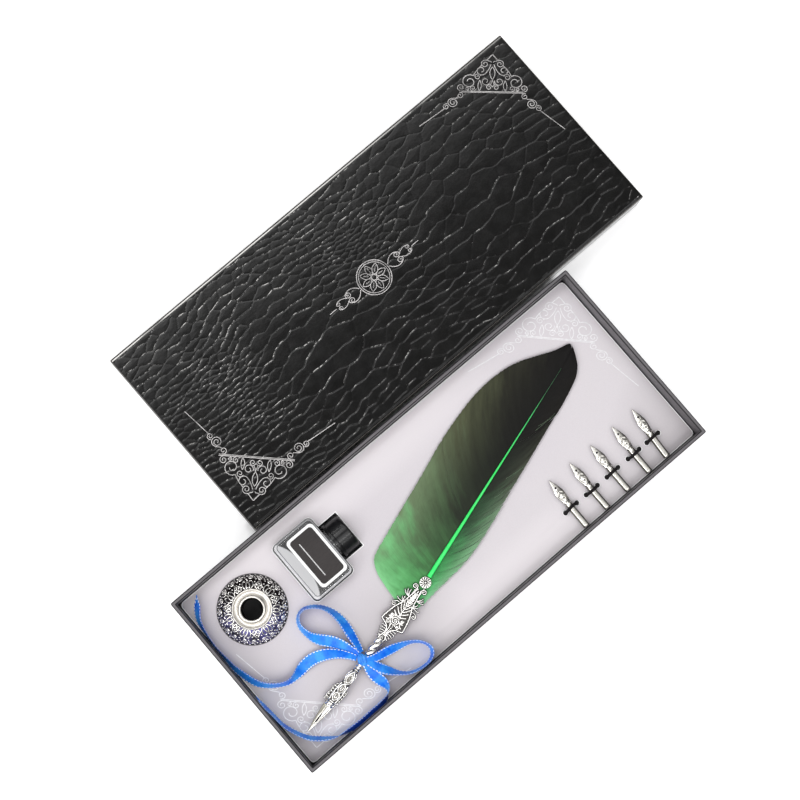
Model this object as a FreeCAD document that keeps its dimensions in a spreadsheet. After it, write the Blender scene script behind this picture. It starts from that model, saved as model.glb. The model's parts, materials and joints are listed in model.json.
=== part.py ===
import FreeCAD, Part
import math
import os
import Sketcher
from FreeCAD import Placement, Rotation, Vector

# Dip pen gift box: rigid set-up tray with a card-and-foam insert that holds a
# pen pot, an ink bottle, a quill dip pen tied with a ribbon and five spare
# nibs, with the telescoping lid lying beside it.
# Frame: origin at the centre of the tray's underside, +X along the tray,
# +Y towards the lid, +Z up.  Millimetres.

doc = FreeCAD.newDocument("dip_pen_gift_box")
sheet = doc.addObject("Spreadsheet::Sheet", "Dims")
row_count = 0


class Size:
    """A length that keeps its value and the sheet formula that gives it."""

    def __init__(self, text, value):
        self.text, self.value = text, float(value)

    @staticmethod
    def of(other):
        return other if isinstance(other, Size) else Size("%.6f" % other, other)

    def __add__(self, other):
        o = Size.of(other)
        return Size("(%s + %s)" % (self.text, o.text), self.value + o.value)

    __radd__ = __add__

    def __sub__(self, other):
        o = Size.of(other)
        return Size("(%s - (%s))" % (self.text, o.text), self.value - o.value)

    def __rsub__(self, other):
        o = Size.of(other)
        return Size("(%s - (%s))" % (o.text, self.text), o.value - self.value)

    def __mul__(self, other):
        o = Size.of(other)
        return Size("(%s * %s)" % (self.text, o.text), self.value * o.value)

    __rmul__ = __mul__

    def __truediv__(self, other):
        o = Size.of(other)
        return Size("(%s / %s)" % (self.text, o.text), self.value / o.value)

    def __neg__(self):
        return Size("(0 - %s)" % self.text, -self.value)


def dim(alias, value):
    """One driving dimension: a plain number in the sheet with an alias."""
    global row_count
    row_count += 1
    sheet.set("A%d" % row_count, alias.replace("_", " "))
    sheet.set("B%d" % row_count, "%.4f" % value)
    sheet.setAlias("B%d" % row_count, alias)
    return Size("Dims." + alias, value)


# ---- driving dimensions -------------------------------------------------
base_length = dim("base_length", 270.0)
base_width = dim("base_width", 112.6)
base_height = dim("base_height", 40.0)
board = dim("board_thick", 1.8)
paper = dim("paper_thick", 0.2)
lid_gap = dim("lid_gap", 0.5)
lid_height = dim("lid_height", 22.0)
lid_x = dim("lid_centre_x", 59.6)
lid_y = dim("lid_centre_y", 118.4)
lid_turn = dim("lid_turn", 0.38)

card_length = dim("card_length", 265.0)
card_width = dim("card_width", 107.6)
card_thick = dim("card_thick", 0.8)
card_top = dim("card_top", 28.0)
card_round = dim("card_corner_round", 2.5)
foam_margin = dim("foam_margin", 0.2)

pot_x = dim("pot_centre_x", -105.0)
pot_y = dim("pot_centre_y", 27.2)
pot_bottom = dim("pot_bottom", 8.0)
pot_radius = dim("pot_radius", 18.2)
pot_clear = dim("pot_clearance", 0.4)
pot_hole = dim("pot_hole_radius", 5.7)
pot_ring_radius = dim("pot_ring_radius", 10.1)
sleeve_radius = dim("sleeve_radius", 7.3)

bottle_x0 = dim("bottle_base_x", -77.2)
bottle_len = dim("bottle_body_length", 25.2)
bottle_wide = dim("bottle_body_width", 36.4)
bottle_deep = dim("bottle_body_depth", 23.5)
bottle_y = dim("bottle_axis_y", 26.6)
bottle_z0 = dim("bottle_back_z", 13.5)
bottle_round = dim("bottle_edge_round", 1.6)
bottle_foot = dim("bottle_foot_glass", 7.2)
bottle_wall = dim("bottle_wall", 2.2)
neck_radius = dim("neck_radius", 8.5)
neck_bore = dim("neck_bore_radius", 6.0)
neck_len = dim("neck_length", 9.0)
cap_radius = dim("cap_radius", 10.25)
cap_collar = dim("cap_collar_radius", 10.8)
cap_len = dim("cap_length", 10.4)
cap_start = dim("cap_start_gap", 1.4)
cap_inner = dim("cap_inner_radius", 8.8)
label_len = dim("label_length", 17.4)
label_wide = dim("label_width", 30.8)
label_thick = dim("label_thick", 0.15)
pocket_gap = dim("pocket_gap", 0.4)

pen_x = dim("pen_tip_x", -123.3)
pen_y = dim("pen_tip_y", -39.0)
pen_z = dim("pen_axis_z", 31.5)
pen_turn = dim("pen_turn", 10.97)
nib_shank_r = dim("nib_shank_radius", 1.85)
nib_shank_wall = dim("nib_shank_wall", 0.3)
stem_radius = dim("stem_radius", 1.45)
plate_thick = dim("plate_thick", 1.6)
rosette_radius = dim("rosette_radius", 3.4)
vane_thick = dim("vane_thick", 0.5)
vane_z = dim("vane_z", 29.7)

nib_length = dim("nib_length", 31.0)
loop_y = dim("loop_line_y", -40.7)
loop_wire = dim("loop_wire_radius", 0.8)
loop_half = dim("loop_half_span", 4.2)
loop_hole = dim("loop_hole_radius", 1.5)
ribbon_width = dim("ribbon_width", 6.4)
ribbon_thick = dim("ribbon_thick", 0.5)
ribbon_z = dim("ribbon_low_z", 28.4)

sheet.recompute()

nodes = []


def keep(obj, label):
    """Marks a document object as a finished piece."""
    obj.Label = label
    nodes.append(obj)
    return obj


def place(obj, x, y, z):
    """Binds an object's position to the sheet."""
    for axis, v in (("x", x), ("y", y), ("z", z)):
        v = Size.of(v)
        setattr(obj.Placement.Base, axis, v.value)
        obj.setExpression(".Placement.Base." + axis, v.text)
    return obj


def turn_z(obj, angle):
    """Binds an object's turn about the vertical to the sheet."""
    a = Size.of(angle)
    obj.Placement = Placement(obj.Placement.Base, Rotation(Vector(0, 0, 1), a.value))
    obj.setExpression(".Placement.Rotation.Angle", a.text)
    return obj


def block(name, lx, ly, lz, x, y, z):
    """A box with its low corner at x, y, z."""
    b = doc.addObject("Part::Box", name)
    for prop, v in (("Length", lx), ("Width", ly), ("Height", lz)):
        v = Size.of(v)
        setattr(b, prop, v.value)
        b.setExpression(prop, v.text)
    return place(b, x, y, z)


def rod(name, r, length, x, y, z, axis="z"):
    """A cylinder from x, y, z along an axis."""
    c = doc.addObject("Part::Cylinder", name)
    for prop, v in (("Radius", r), ("Height", length)):
        v = Size.of(v)
        setattr(c, prop, v.value)
        c.setExpression(prop, v.text)
    if axis == "x":
        c.Placement = Placement(Vector(), Rotation(Vector(0, 1, 0), 90))
    if axis == "y":
        c.Placement = Placement(Vector(), Rotation(Vector(1, 0, 0), -90))
    return place(c, x, y, z)


def cut(name, base, tool):
    c = doc.addObject("Part::Cut", name)
    c.Base, c.Tool = base, tool
    return c


def fuse(name, shapes):
    f = doc.addObject("Part::MultiFuse", name)
    f.Shapes = shapes
    return f


def origin_plane(body, role):
    return [f for f in body.Origin.OriginFeatures if f.Role == role][0]


def polygon(sketch, points):
    """A closed outline whose corners are bound to the sheet."""
    pts = [(Size.of(a), Size.of(b)) for a, b in points]
    n = len(pts)
    for i in range(n):
        a, b = pts[i], pts[(i + 1) % n]
        sketch.addGeometry(
            Part.LineSegment(
                Vector(a[0].value, a[1].value, 0), Vector(b[0].value, b[1].value, 0)
            ),
            False,
        )
    for i in range(n):
        sketch.addConstraint(Sketcher.Constraint("Coincident", i, 2, (i + 1) % n, 1))
    for i, (a, b) in enumerate(pts):
        for kind, v, axis in (("DistanceX", a, -2), ("DistanceY", b, -1)):
            if abs(v.value) < 1e-9:
                sketch.addConstraint(Sketcher.Constraint("PointOnObject", i, 1, axis))
                continue
            if v.value > 0:
                k = sketch.addConstraint(
                    Sketcher.Constraint(kind, -1, 1, i, 1, v.value)
                )
                sketch.setExpression("Constraints[%d]" % k, v.text)
            else:
                k = sketch.addConstraint(
                    Sketcher.Constraint(kind, i, 1, -1, 1, -v.value)
                )
                sketch.setExpression("Constraints[%d]" % k, (-v).text)


def free_outline(sketch, points):
    """A closed outline of free-form points, fixed in place."""
    n = len(points)
    for i in range(n):
        a, b = points[i], points[(i + 1) % n]
        sketch.addGeometry(
            Part.LineSegment(Vector(a[0], a[1], 0), Vector(b[0], b[1], 0)), False
        )
    for i in range(n):
        sketch.addConstraint(Sketcher.Constraint("Coincident", i, 2, (i + 1) % n, 1))


def new_sketch(body, name, role):
    s = body.newObject("Sketcher::SketchObject", name)
    s.AttachmentSupport = (origin_plane(body, role), [""])
    s.MapMode = "FlatFace"
    return s


def turned(name, profile, body=None, axis="V_Axis"):
    """A body turned from an (r, z) outline about the vertical, or about the
    length of the sketch when axis is H_Axis and the outline is (x, r)."""
    body = body or doc.addObject("PartDesign::Body", name)
    s = new_sketch(body, name + "_profile", "XZ_Plane")
    polygon(s, profile)
    doc.recompute()
    r = body.newObject("PartDesign::Revolution", name + "_turn")
    r.Profile = s
    r.ReferenceAxis = (s, [axis])
    r.Angle = 360.0
    s.Visibility = False
    doc.recompute()
    return body


def padded(name, points, height, offset=0.0, holes=(), body=None, free=False):
    """A body pushed up from an outline in its XY plane."""
    body = body or doc.addObject("PartDesign::Body", name)
    s = new_sketch(body, name + "_outline", "XY_Plane")
    s.AttachmentOffset = Placement(Vector(0, 0, Size.of(offset).value), Rotation())
    (free_outline if free else polygon)(s, points)
    for x, y, r in holes:
        s.addGeometry(
            Part.Circle(Vector(Size.of(x).value, Size.of(y).value, 0), Vector(0, 0, 1), r),
            False,
        )
    doc.recompute()
    p = body.newObject("PartDesign::Pad", name + "_pad")
    p.Profile = s
    h = Size.of(height)
    p.Length = h.value
    p.setExpression("Length", h.text)
    s.Visibility = False
    doc.recompute()
    return body


# ---- tray (base) --------------------------------------------------------
half_l, half_w = base_length / 2, base_width / 2
wall = board + paper + paper
keep(
    block("BottomSheet", base_length, base_width, paper, -half_l, -half_w, 0.0),
    "base_bottom_sheet",
)
keep(
    block(
        "FloorBoard",
        base_length - 2 * wall,
        base_width - 2 * wall,
        board,
        wall - half_l,
        wall - half_w,
        paper,
    ),
    "base_floor_board",
)
wall_tall = base_height - 2 * paper
side_run = base_width - 2 * (paper + board)
keep(
    block("WallFront", base_length - 2 * paper, board, wall_tall, paper - half_l, paper - half_w, paper),
    "base_wall_front",
)
keep(
    block(
        "WallBack",
        base_length - 2 * paper,
        board,
        wall_tall,
        paper - half_l,
        half_w - paper - board,
        paper,
    ),
    "base_wall_back",
)
keep(
    block("WallLeft", board, side_run, wall_tall, paper - half_l, paper + board - half_w, paper),
    "base_wall_left",
)
keep(
    block(
        "WallRight", board, side_run, wall_tall, half_l - paper - board, paper + board - half_w, paper
    ),
    "base_wall_right",
)
# cover paper: outside skin, over the rim, inside skin; the boards fill its slot
skin_out = block("SkinOut", base_length, base_width, base_height - paper, -half_l, -half_w, paper)
skin_in = block(
    "SkinIn",
    base_length - 2 * wall,
    base_width - 2 * wall,
    base_height,
    wall - half_l,
    wall - half_w,
    paper,
)
slot_out = block(
    "SlotOut", base_length - 2 * paper, base_width - 2 * paper, wall_tall, paper - half_l, paper - half_w, paper
)
slot_in = block(
    "SlotIn",
    base_length - 2 * (paper + board),
    base_width - 2 * (paper + board),
    wall_tall,
    paper + board - half_l,
    paper + board - half_w,
    paper,
)
keep(
    cut("CoverPaper", cut("CoverRing", skin_out, skin_in), cut("BoardSlot", slot_out, slot_in)),
    "base_cover_paper",
)

# ---- lid, in its own frame, then turned and set beside the tray ------------
lid_l = base_length + 2 * (lid_gap + wall)
lid_w = base_width + 2 * (lid_gap + wall)
lid_half_l, lid_half_w = lid_l / 2, lid_w / 2
lid_wall_tall = lid_height - paper - board


def lid_block(name, lx, ly, lz, x, y, z):
    """A box in the lid's frame, carried to where the lid lies."""
    b = block(name, lx, ly, lz, 0.0, 0.0, z)
    turn_z(b, lid_turn)
    a = math.radians(lid_turn.value)
    x, y = Size.of(x), Size.of(y)
    c, s = math.cos(a), math.sin(a)
    return place(b, lid_x + x * c - y * s, lid_y + x * s + y * c, z)


keep(
    lid_block(
        "LidTop",
        lid_l - 2 * paper,
        lid_w - 2 * paper,
        board,
        paper - lid_half_l,
        paper - lid_half_w,
        lid_wall_tall,
    ),
    "lid_top_board",
)
lid_side = lid_w - 2 * (paper + board)
keep(
    lid_block(
        "LidFront", lid_l - 2 * paper, board, lid_wall_tall, paper - lid_half_l, paper - lid_half_w, 0.0
    ),
    "lid_wall_front",
)
keep(
    lid_block(
        "LidBack",
        lid_l - 2 * paper,
        board,
        lid_wall_tall,
        paper - lid_half_l,
        lid_half_w - paper - board,
        0.0,
    ),
    "lid_wall_back",
)
keep(
    lid_block(
        "LidLeft", board, lid_side, lid_wall_tall, paper - lid_half_l, paper + board - lid_half_w, 0.0
    ),
    "lid_wall_left",
)
keep(
    lid_block(
        "LidRight",
        board,
        lid_side,
        lid_wall_tall,
        lid_half_l - paper - board,
        paper + board - lid_half_w,
        0.0,
    ),
    "lid_wall_right",
)
keep(
    cut(
        "LidCover",
        lid_block("LidCoverOut", lid_l, lid_w, lid_height, -lid_half_l, -lid_half_w, 0.0),
        lid_block(
            "LidCoverIn",
            lid_l - 2 * paper,
            lid_w - 2 * paper,
            lid_height - paper,
            paper - lid_half_l,
            paper - lid_half_w,
            0.0,
        ),
    ),
    "lid_cover_paper",
)
inset = paper + board
keep(
    cut(
        "LidLiner",
        lid_block(
            "LidLinerOut", lid_l - 2 * inset, lid_w - 2 * inset, lid_wall_tall, inset - lid_half_l, inset - lid_half_w, 0.0
        ),
        lid_block(
            "LidLinerIn",
            lid_l - 2 * (inset + paper),
            lid_w - 2 * (inset + paper),
            lid_wall_tall - paper,
            inset + paper - lid_half_l,
            inset + paper - lid_half_w,
            0.0,
        ),
    ),
    "lid_liner_paper",
)

# ---- insert: card on a foam block with the same pockets -------------------
bottle_z = bottle_z0 + bottle_deep / 2
shoulder_x = bottle_x0 + bottle_len
cap_x0 = shoulder_x + cap_start


def pocket(name, low, tall, gap):
    """The cutters for the pot and the bottle with its cap."""
    return fuse(
        name,
        [
            rod(name + "Pot", pot_radius + gap, tall, pot_x, pot_y, low),
            block(
                name + "Body",
                bottle_len + 2 * gap,
                bottle_wide + 2 * gap,
                tall,
                bottle_x0 - gap,
                bottle_y - bottle_wide / 2 - gap,
                low,
            ),
            block(
                name + "Cap",
                cap_start + cap_len + gap,
                2 * (cap_collar + gap),
                tall,
                shoulder_x,
                bottle_y - cap_collar - gap,
                low,
            ),
        ],
    )


card_low = card_top - card_thick
card_blank = block("CardBlank", card_length, card_width, card_thick, -card_length / 2, -card_width / 2, card_low)
doc.recompute()
card_rounded = doc.addObject("Part::Fillet", "CardRounded")
card_rounded.Base = card_blank
upright = [
    i + 1
    for i, e in enumerate(card_blank.Shape.Edges)
    if abs(e.Vertexes[0].Z - e.Vertexes[1].Z) > 0.1
]
card_rounded.Edges = [(i, card_round.value, card_round.value) for i in upright]
nib_x = [113.3, 100.1, 85.1, 70.6, 56.1]
nib_turn = [86.0, 89.3, 89.8, 90.0, 89.4]
loop_x = [113.35, 100.05, 85.1, 70.6, 56.1]
hole_tools = [
    rod(
        "LoopHole%d%s" % (i + 1, side),
        loop_hole,
        card_thick * 3,
        Size.of(x) + loop_half * sign * 0.93,
        loop_y,
        card_low - card_thick,
    )
    for i, x in enumerate(loop_x)
    for side, sign in (("a", -1.0), ("b", 1.0))
]
keep(
    cut(
        "InsertCard",
        card_rounded,
        fuse("CardTools", [pocket("CardPocket", card_low - 1.0, card_thick + 2.0, pot_clear)] + hole_tools),
    ),
    "insert_card",
)
foam_low = paper + board
foam_blank = block(
    "FoamBlank",
    card_length - 2 * foam_margin,
    card_width - 2 * foam_margin,
    card_low - foam_low,
    foam_margin - card_length / 2,
    foam_margin - card_width / 2,
    foam_low,
)
foam_tools = fuse(
    "FoamTools",
    [
        rod("FoamPot", pot_radius + 0.7, 40.0, pot_x, pot_y, pot_bottom - 0.1),
        block(
            "FoamBody",
            bottle_len + 2 * pocket_gap,
            bottle_wide + 2 * pocket_gap,
            40.0,
            bottle_x0 - pocket_gap,
            bottle_y - bottle_wide / 2 - pocket_gap,
            bottle_z0 - 0.2,
        ),
        block(
            "FoamCap",
            cap_start + cap_len + pocket_gap,
            2 * (cap_collar + pocket_gap),
            40.0,
            shoulder_x,
            bottle_y - cap_collar - pocket_gap,
            bottle_z0 - 0.2,
        ),
    ],
)
keep(cut("InsertFoam", foam_blank, foam_tools), "insert_foam")

# elastic loops: two straight legs and the arc over the nib's shank
shank_z = card_top + nib_shank_r + 0.1
arc_r = nib_shank_r.value + 0.15 + loop_wire.value
leg = (loop_half.value, card_low.value + 0.05 - shank_z.value)
reach = math.hypot(*leg)
lean = math.atan2(leg[1], leg[0])
touch = lean + math.acos(arc_r / reach)
loop_pts = (
    Vector(-leg[0], 0, leg[1]),
    Vector(-arc_r * math.cos(touch), 0, arc_r * math.sin(touch)),
    Vector(0, 0, arc_r),
    Vector(arc_r * math.cos(touch), 0, arc_r * math.sin(touch)),
    Vector(leg[0], 0, leg[1]),
)
loops = []
for x in loop_x:
    path = Part.Wire(
        [
            Part.LineSegment(loop_pts[0], loop_pts[1]).toShape(),
            Part.Arc(loop_pts[1], loop_pts[2], loop_pts[3]).toShape(),
            Part.LineSegment(loop_pts[3], loop_pts[4]).toShape(),
        ]
    )
    ring = Part.Wire(
        [
            Part.Circle(
                loop_pts[0], loop_pts[1] - loop_pts[0], loop_wire.value
            ).toShape()
        ]
    )
    one = path.makePipeShell([ring], True, True)
    low = Part.makeBox(40, 40, 20, Vector(-20, -20, leg[1] - 20))
    one = one.cut(low)
    one.translate(Vector(x, loop_y.value, shank_z.value))
    loops.append(one.Solids[0])
loop_feature = doc.addObject("Part::Feature", "NibLoops")
loop_feature.Shape = Part.makeCompound(loops)
keep(loop_feature, "nib_loops")

# ---- pen pot --------------------------------------------------------------
z0 = pot_bottom
pad_thick = 1.0
pad = turned("PotPad", [(0.0, 0.0), (13.4, 0.0), (13.4, pad_thick), (0.0, pad_thick)])
keep(place(pad, pot_x, pot_y, z0), "pot_base_pad")
shell_profile = [
    (12.4, 1.0),
    (14.4, 1.0),
    (14.9, 1.6),
    (14.9, 3.0),
    (14.0, 4.0),
    (pot_radius - 3.0, 7.2),
    (pot_radius - 0.9, 11.4),
    (pot_radius, 16.0),
    (pot_radius - 0.1, 19.0),
    (pot_radius - 1.1, 22.3),
    (pot_radius - 3.1, 24.9),
    (pot_radius - 5.9, 26.6),
    (pot_radius - 8.3, 27.2),
    (8.9, 27.4),
    (8.9, 26.0),
    (pot_radius - 7.0, 25.0),
    (pot_radius - 4.3, 23.4),
    (pot_radius - 2.7, 21.4),
    (pot_radius - 1.8, 18.7),
    (pot_radius - 1.8, 16.0),
    (pot_radius - 2.7, 12.0),
    (pot_radius - 4.7, 8.2),
    (12.4, 5.0),
]
shell = turned("PotShell", shell_profile)
keep(place(shell, pot_x, pot_y, z0), "pot_shell")
ring_profile = [
    (sleeve_radius + 0.05, 25.4),
    (8.8, 25.4),
    (8.8, 27.45),
    (pot_ring_radius - 0.5, 27.45),
    (pot_ring_radius, 27.9),
    (pot_ring_radius, 28.6),
    (pot_ring_radius - 0.7, 29.0),
    (pot_ring_radius - 2.6, 28.5),
    (pot_hole + 1.6, 28.9),
    (pot_hole + 0.9, 29.4),
    (pot_hole, 29.4),
    (pot_hole, 28.4),
    (sleeve_radius + 0.05, 28.4),
]
ring = turned("PotRing", ring_profile)
keep(place(ring, pot_x, pot_y, z0), "pot_mouth_ring")
sleeve = turned(
    "PotSleeve",
    [
        (0.0, 2.0),
        (sleeve_radius, 2.0),
        (sleeve_radius, 28.35),
        (pot_hole, 28.35),
        (pot_hole, 3.2),
        (0.0, 3.2),
    ],
)
keep(place(sleeve, pot_x, pot_y, z0), "pot_sleeve")

# ---- ink bottle, lying on its back with the cap towards +X -----------------
body_blank = block(
    "BottleBlank", bottle_len, bottle_wide, bottle_deep, bottle_x0, bottle_y - bottle_wide / 2, bottle_z0
)
doc.recompute()
body_round = doc.addObject("Part::Fillet", "BottleRounded")
body_round.Base = body_blank
body_round.Edges = [
    (i + 1, bottle_round.value, bottle_round.value)
    for i in range(len(body_blank.Shape.Edges))
]
neck = rod("BottleNeck", neck_radius, neck_len + 1.0, shoulder_x - 1.0, bottle_y, bottle_z, "x")
cavity_len = bottle_len - bottle_foot - bottle_wall
cavity = block(
    "BottleCavity",
    cavity_len,
    bottle_wide - 2 * bottle_wall,
    bottle_deep - 2 * bottle_wall,
    bottle_x0 + bottle_foot,
    bottle_y - bottle_wide / 2 + bottle_wall,
    bottle_z0 + bottle_wall,
)
neck_hole = rod(
    "BottleMouth", neck_bore, neck_len + bottle_wall + 2.0, shoulder_x - bottle_wall - 1.0, bottle_y, bottle_z, "x"
)
keep(
    cut("BottleGlass", fuse("BottleSolid", [body_round, neck]), fuse("BottleHollow", [cavity, neck_hole])),
    "bottle_glass",
)
slack = 0.05
keep(
    block(
        "InkFill",
        cavity_len - 2 * slack,
        bottle_wide - 2 * bottle_wall - 2 * slack,
        bottle_deep - 2 * bottle_wall - 2 * slack,
        bottle_x0 + bottle_foot + slack,
        bottle_y - bottle_wide / 2 + bottle_wall + slack,
        bottle_z0 + bottle_wall + slack,
    ),
    "ink_fill",
)
label_blank = block(
    "LabelBlank",
    label_len,
    label_wide,
    label_thick,
    bottle_x0 + bottle_foot - 0.5,
    bottle_y - label_wide / 2,
    bottle_z0 + bottle_deep,
)
doc.recompute()
label_round = doc.addObject("Part::Fillet", "LabelRounded")
label_round.Base = label_blank
label_round.Edges = [
    (i + 1, 2.0, 2.0)
    for i, e in enumerate(label_blank.Shape.Edges)
    if abs(e.Vertexes[0].Z - e.Vertexes[1].Z) > 0.05
]
keep(label_round, "bottle_label")
roof = 2.0
cap = turned(
    "CapShell",
    [
        (0.0, cap_inner),
        (0.0, cap_collar),
        (1.8, cap_collar),
        (1.8, cap_radius),
        (cap_len - 0.6, cap_radius),
        (cap_len, cap_radius - 0.6),
        (cap_len, 0.0),
        (cap_len - roof, 0.0),
        (cap_len - roof, cap_inner),
    ],
    axis="H_Axis",
)
keep(place(cap, cap_x0, bottle_y, bottle_z), "cap_shell")
liner_thick = 0.5
keep(
    rod("CapLiner", neck_radius - 0.1, liner_thick, cap_x0 + cap_len - roof - liner_thick - 0.02, bottle_y, bottle_z, "x"),
    "cap_liner",
)

# ---- quill pen: local x runs from the nib's tip along the pen ---------------


def on_pen(obj):
    """Sets a piece of the pen, built from the nib's tip along x, in place."""
    turn_z(obj, pen_turn)
    return place(obj, pen_x, pen_y, pen_z)


shank_in = nib_shank_r - nib_shank_wall
fitted = padded(
    "PenNib",
    [
        (0.0, 0.12),
        (0.0, -0.12),
        (3.0, -1.0),
        (6.2, -1.9),
        (12.0, -1.75),
        (17.2, -1.6),
        (17.2, 1.6),
        (12.0, 1.75),
        (6.2, 1.9),
        (3.0, 1.0),
    ],
    0.6,
    offset=0.6,
    holes=[(9.0, 0.0, 0.4)],
)
turned(
    "PenNibShank",
    [(16.0, shank_in), (29.5, shank_in), (29.5, nib_shank_r), (16.0, nib_shank_r)],
    body=fitted,
    axis="H_Axis",
)
keep(on_pen(fitted), "pen_nib")
ferrule = turned(
    "NibFerrule",
    [(19.0, nib_shank_r + 0.03), (30.5, nib_shank_r + 0.03), (30.5, 2.12), (19.0, 2.12)],
    axis="H_Axis",
)
keep(on_pen(ferrule), "nib_ferrule")
collar = turned(
    "NibCollar",
    [
        (17.35, nib_shank_r + 0.05),
        (18.95, nib_shank_r + 0.05),
        (18.95, 2.6),
        (18.5, 2.95),
        (17.8, 2.95),
        (17.35, 2.5),
    ],
    axis="H_Axis",
)
keep(on_pen(collar), "nib_collar")
grip = turned(
    "PenGrip",
    [
        (18.97, 2.14),
        (31.0, 2.14),
        (31.0, 0.0),
        (40.4, 0.0),
        (40.4, 1.45),
        (38.6, 1.75),
        (35.0, 2.55),
        (31.0, 3.1),
        (27.0, 3.4),
        (23.0, 3.3),
        (20.0, 2.7),
        (18.97, 2.5),
    ],
    axis="H_Axis",
)
keep(on_pen(grip), "pen_grip")
beads = turned(
    "StemBeads",
    [
        (40.4, 0.0),
        (40.4, 1.3),
        (41.0, 1.9),
        (41.6, 1.9),
        (42.2, 1.3),
        (42.7, 1.7),
        (43.2, 1.7),
        (43.8, 1.2),
        (43.8, 0.0),
    ],
    axis="H_Axis",
)
keep(on_pen(beads), "stem_beads")
stem = turned(
    "TwistedStem",
    [(43.8, 0.0), (43.8, stem_radius), (59.9, stem_radius), (59.9, 0.0)],
    axis="H_Axis",
)
keep(on_pen(stem), "twisted_stem")
plate = padded(
    "FiligreePlate",
    [
        (59.95, -1.2),
        (62.5, -1.6),
        (65.0, -3.6),
        (69.4, -6.4),
        (70.6, -6.0),
        (86.0, -2.2),
        (93.6, -1.1),
        (93.6, 1.1),
        (86.0, 2.2),
        (70.6, 6.0),
        (69.4, 6.4),
        (65.0, 3.6),
        (62.5, 1.6),
        (59.95, 1.2),
    ],
    plate_thick,
    offset=-0.8,
)
windows = new_sketch(plate, "PlateWindows", "XY_Plane")
windows.AttachmentOffset = Placement(Vector(0, 0, 5), Rotation())
count = 0
for ring_pts in (
    [(66.2, 0.6), (69.6, 4.9), (71.0, 4.6), (72.4, 0.6)],
    [(66.2, -0.6), (72.4, -0.6), (71.0, -4.6), (69.6, -4.9)],
    [(73.6, 0.6), (72.6, 4.2), (82.6, 1.8), (82.6, 0.6)],
    [(73.6, -0.6), (82.6, -0.6), (82.6, -1.8), (72.6, -4.2)],
):
    m = len(ring_pts)
    for i in range(m):
        a, b = ring_pts[i], ring_pts[(i + 1) % m]
        windows.addGeometry(
            Part.LineSegment(Vector(a[0], a[1], 0), Vector(b[0], b[1], 0)), False
        )
    for i in range(m):
        windows.addConstraint(
            Sketcher.Constraint("Coincident", count + i, 2, count + (i + 1) % m, 1)
        )
    count += m
doc.recompute()
before = plate.Shape.Volume
plate_pocket = plate.newObject("PartDesign::Pocket", "PlatePocket")
plate_pocket.Profile = windows
plate_pocket.Type = "ThroughAll"
plate_pocket.Midplane = True
windows.Visibility = False
doc.recompute()
if not plate.Shape.Volume < before - 20:
    raise RuntimeError("the plate's windows were not cut")
keep(on_pen(plate), "filigree_plate")
rosette_s = 97.2
rosette = turned(
    "FlowerRosette",
    [
        (0.85, -0.9),
        (rosette_radius, -0.9),
        (rosette_radius, 0.4),
        (rosette_radius - 0.8, 0.9),
        (0.85, 0.9),
    ],
)
a = math.radians(pen_turn.value)
keep(
    place(
        rosette,
        pen_x + rosette_s * math.cos(a),
        pen_y + rosette_s * math.sin(a),
        pen_z,
    ),
    "flower_rosette",
)
rivet = turned(
    "RosetteRivet",
    [(0.0, -1.1), (0.8, -1.1), (0.8, 0.95), (1.3, 0.95), (0.9, 1.5), (0.0, 1.7)],
)
keep(
    place(
        rivet,
        pen_x + rosette_s * math.cos(a),
        pen_y + rosette_s * math.sin(a),
        pen_z,
    ),
    "rosette_rivet",
)
# quill shaft: tapers from the rosette towards the feather's tip
shaft_turn = dim("shaft_turn", 16.87)
shaft_start = dim("shaft_start", 3.45)
shaft_end = dim("shaft_end", 139.0)
shaft_thick = dim("shaft_base_radius", 0.95)
shaft_tip = dim("shaft_tip_radius", 0.3)
sheet.recompute()
shaft = turned(
    "QuillShaft",
    [
        (shaft_start, 0.0),
        (shaft_start, shaft_thick),
        (shaft_end, shaft_tip),
        (shaft_end, 0.0),
    ],
    axis="H_Axis",
)
turn_z(shaft, shaft_turn)
keep(
    place(
        shaft,
        pen_x + rosette_s * math.cos(a),
        pen_y + rosette_s * math.sin(a),
        vane_z + vane_thick + shaft_thick + 0.03,
    ),
    "quill_shaft",
)
# feather: the two vanes lie under the shaft and meet along it
spine = [(-44.5, -23.8), (-28.0, -20.5), (20.4, -5.9), (66.4, 8.1), (94.6, 16.7), (111.4, 22.0)]
left_edge = [
    (112.0, 24.5), (108.5, 26.0), (103.3, 27.7), (95.3, 31.9), (86.9, 35.4), (78.4, 37.6),
    (66.1, 38.4), (53.3, 37.2), (38.9, 34.0), (25.3, 30.1), (13.9, 25.9), (1.1, 21.4),
    (-12.9, 16.7), (-25.6, 12.3), (-36.2, 8.6), (-40.6, 5.8), (-43.6, 0.0), (-45.0, -8.9), (-45.6, -18.5),
]
right_edge = [
    (111.9, 21.4), (110.2, 17.4), (107.4, 13.1), (101.8, 8.9), (88.4, 3.4), (76.2, -0.4), (61.2, -5.5),
    (49.0, -9.6), (34.2, -14.6), (22.8, -18.7), (13.4, -21.8), (3.8, -24.6), (-5.4, -26.4), (-19.0, -27.5),
    (-28.5, -28.1), (-36.6, -28.5), (-42.0, -26.6),
]
gap = 0.06
left = padded(
    "VaneLeft",
    [(x - gap * 0.29, y + gap) for x, y in spine] + left_edge,
    vane_thick,
    free=True,
)
keep(place(left, 0.0, 0.0, vane_z), "feather_vane_left")
right = padded(
    "VaneRight",
    [(x + gap * 0.29, y - gap) for x, y in spine] + right_edge,
    vane_thick,
    free=True,
)
keep(place(right, 0.0, 0.0, vane_z), "feather_vane_right")

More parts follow.
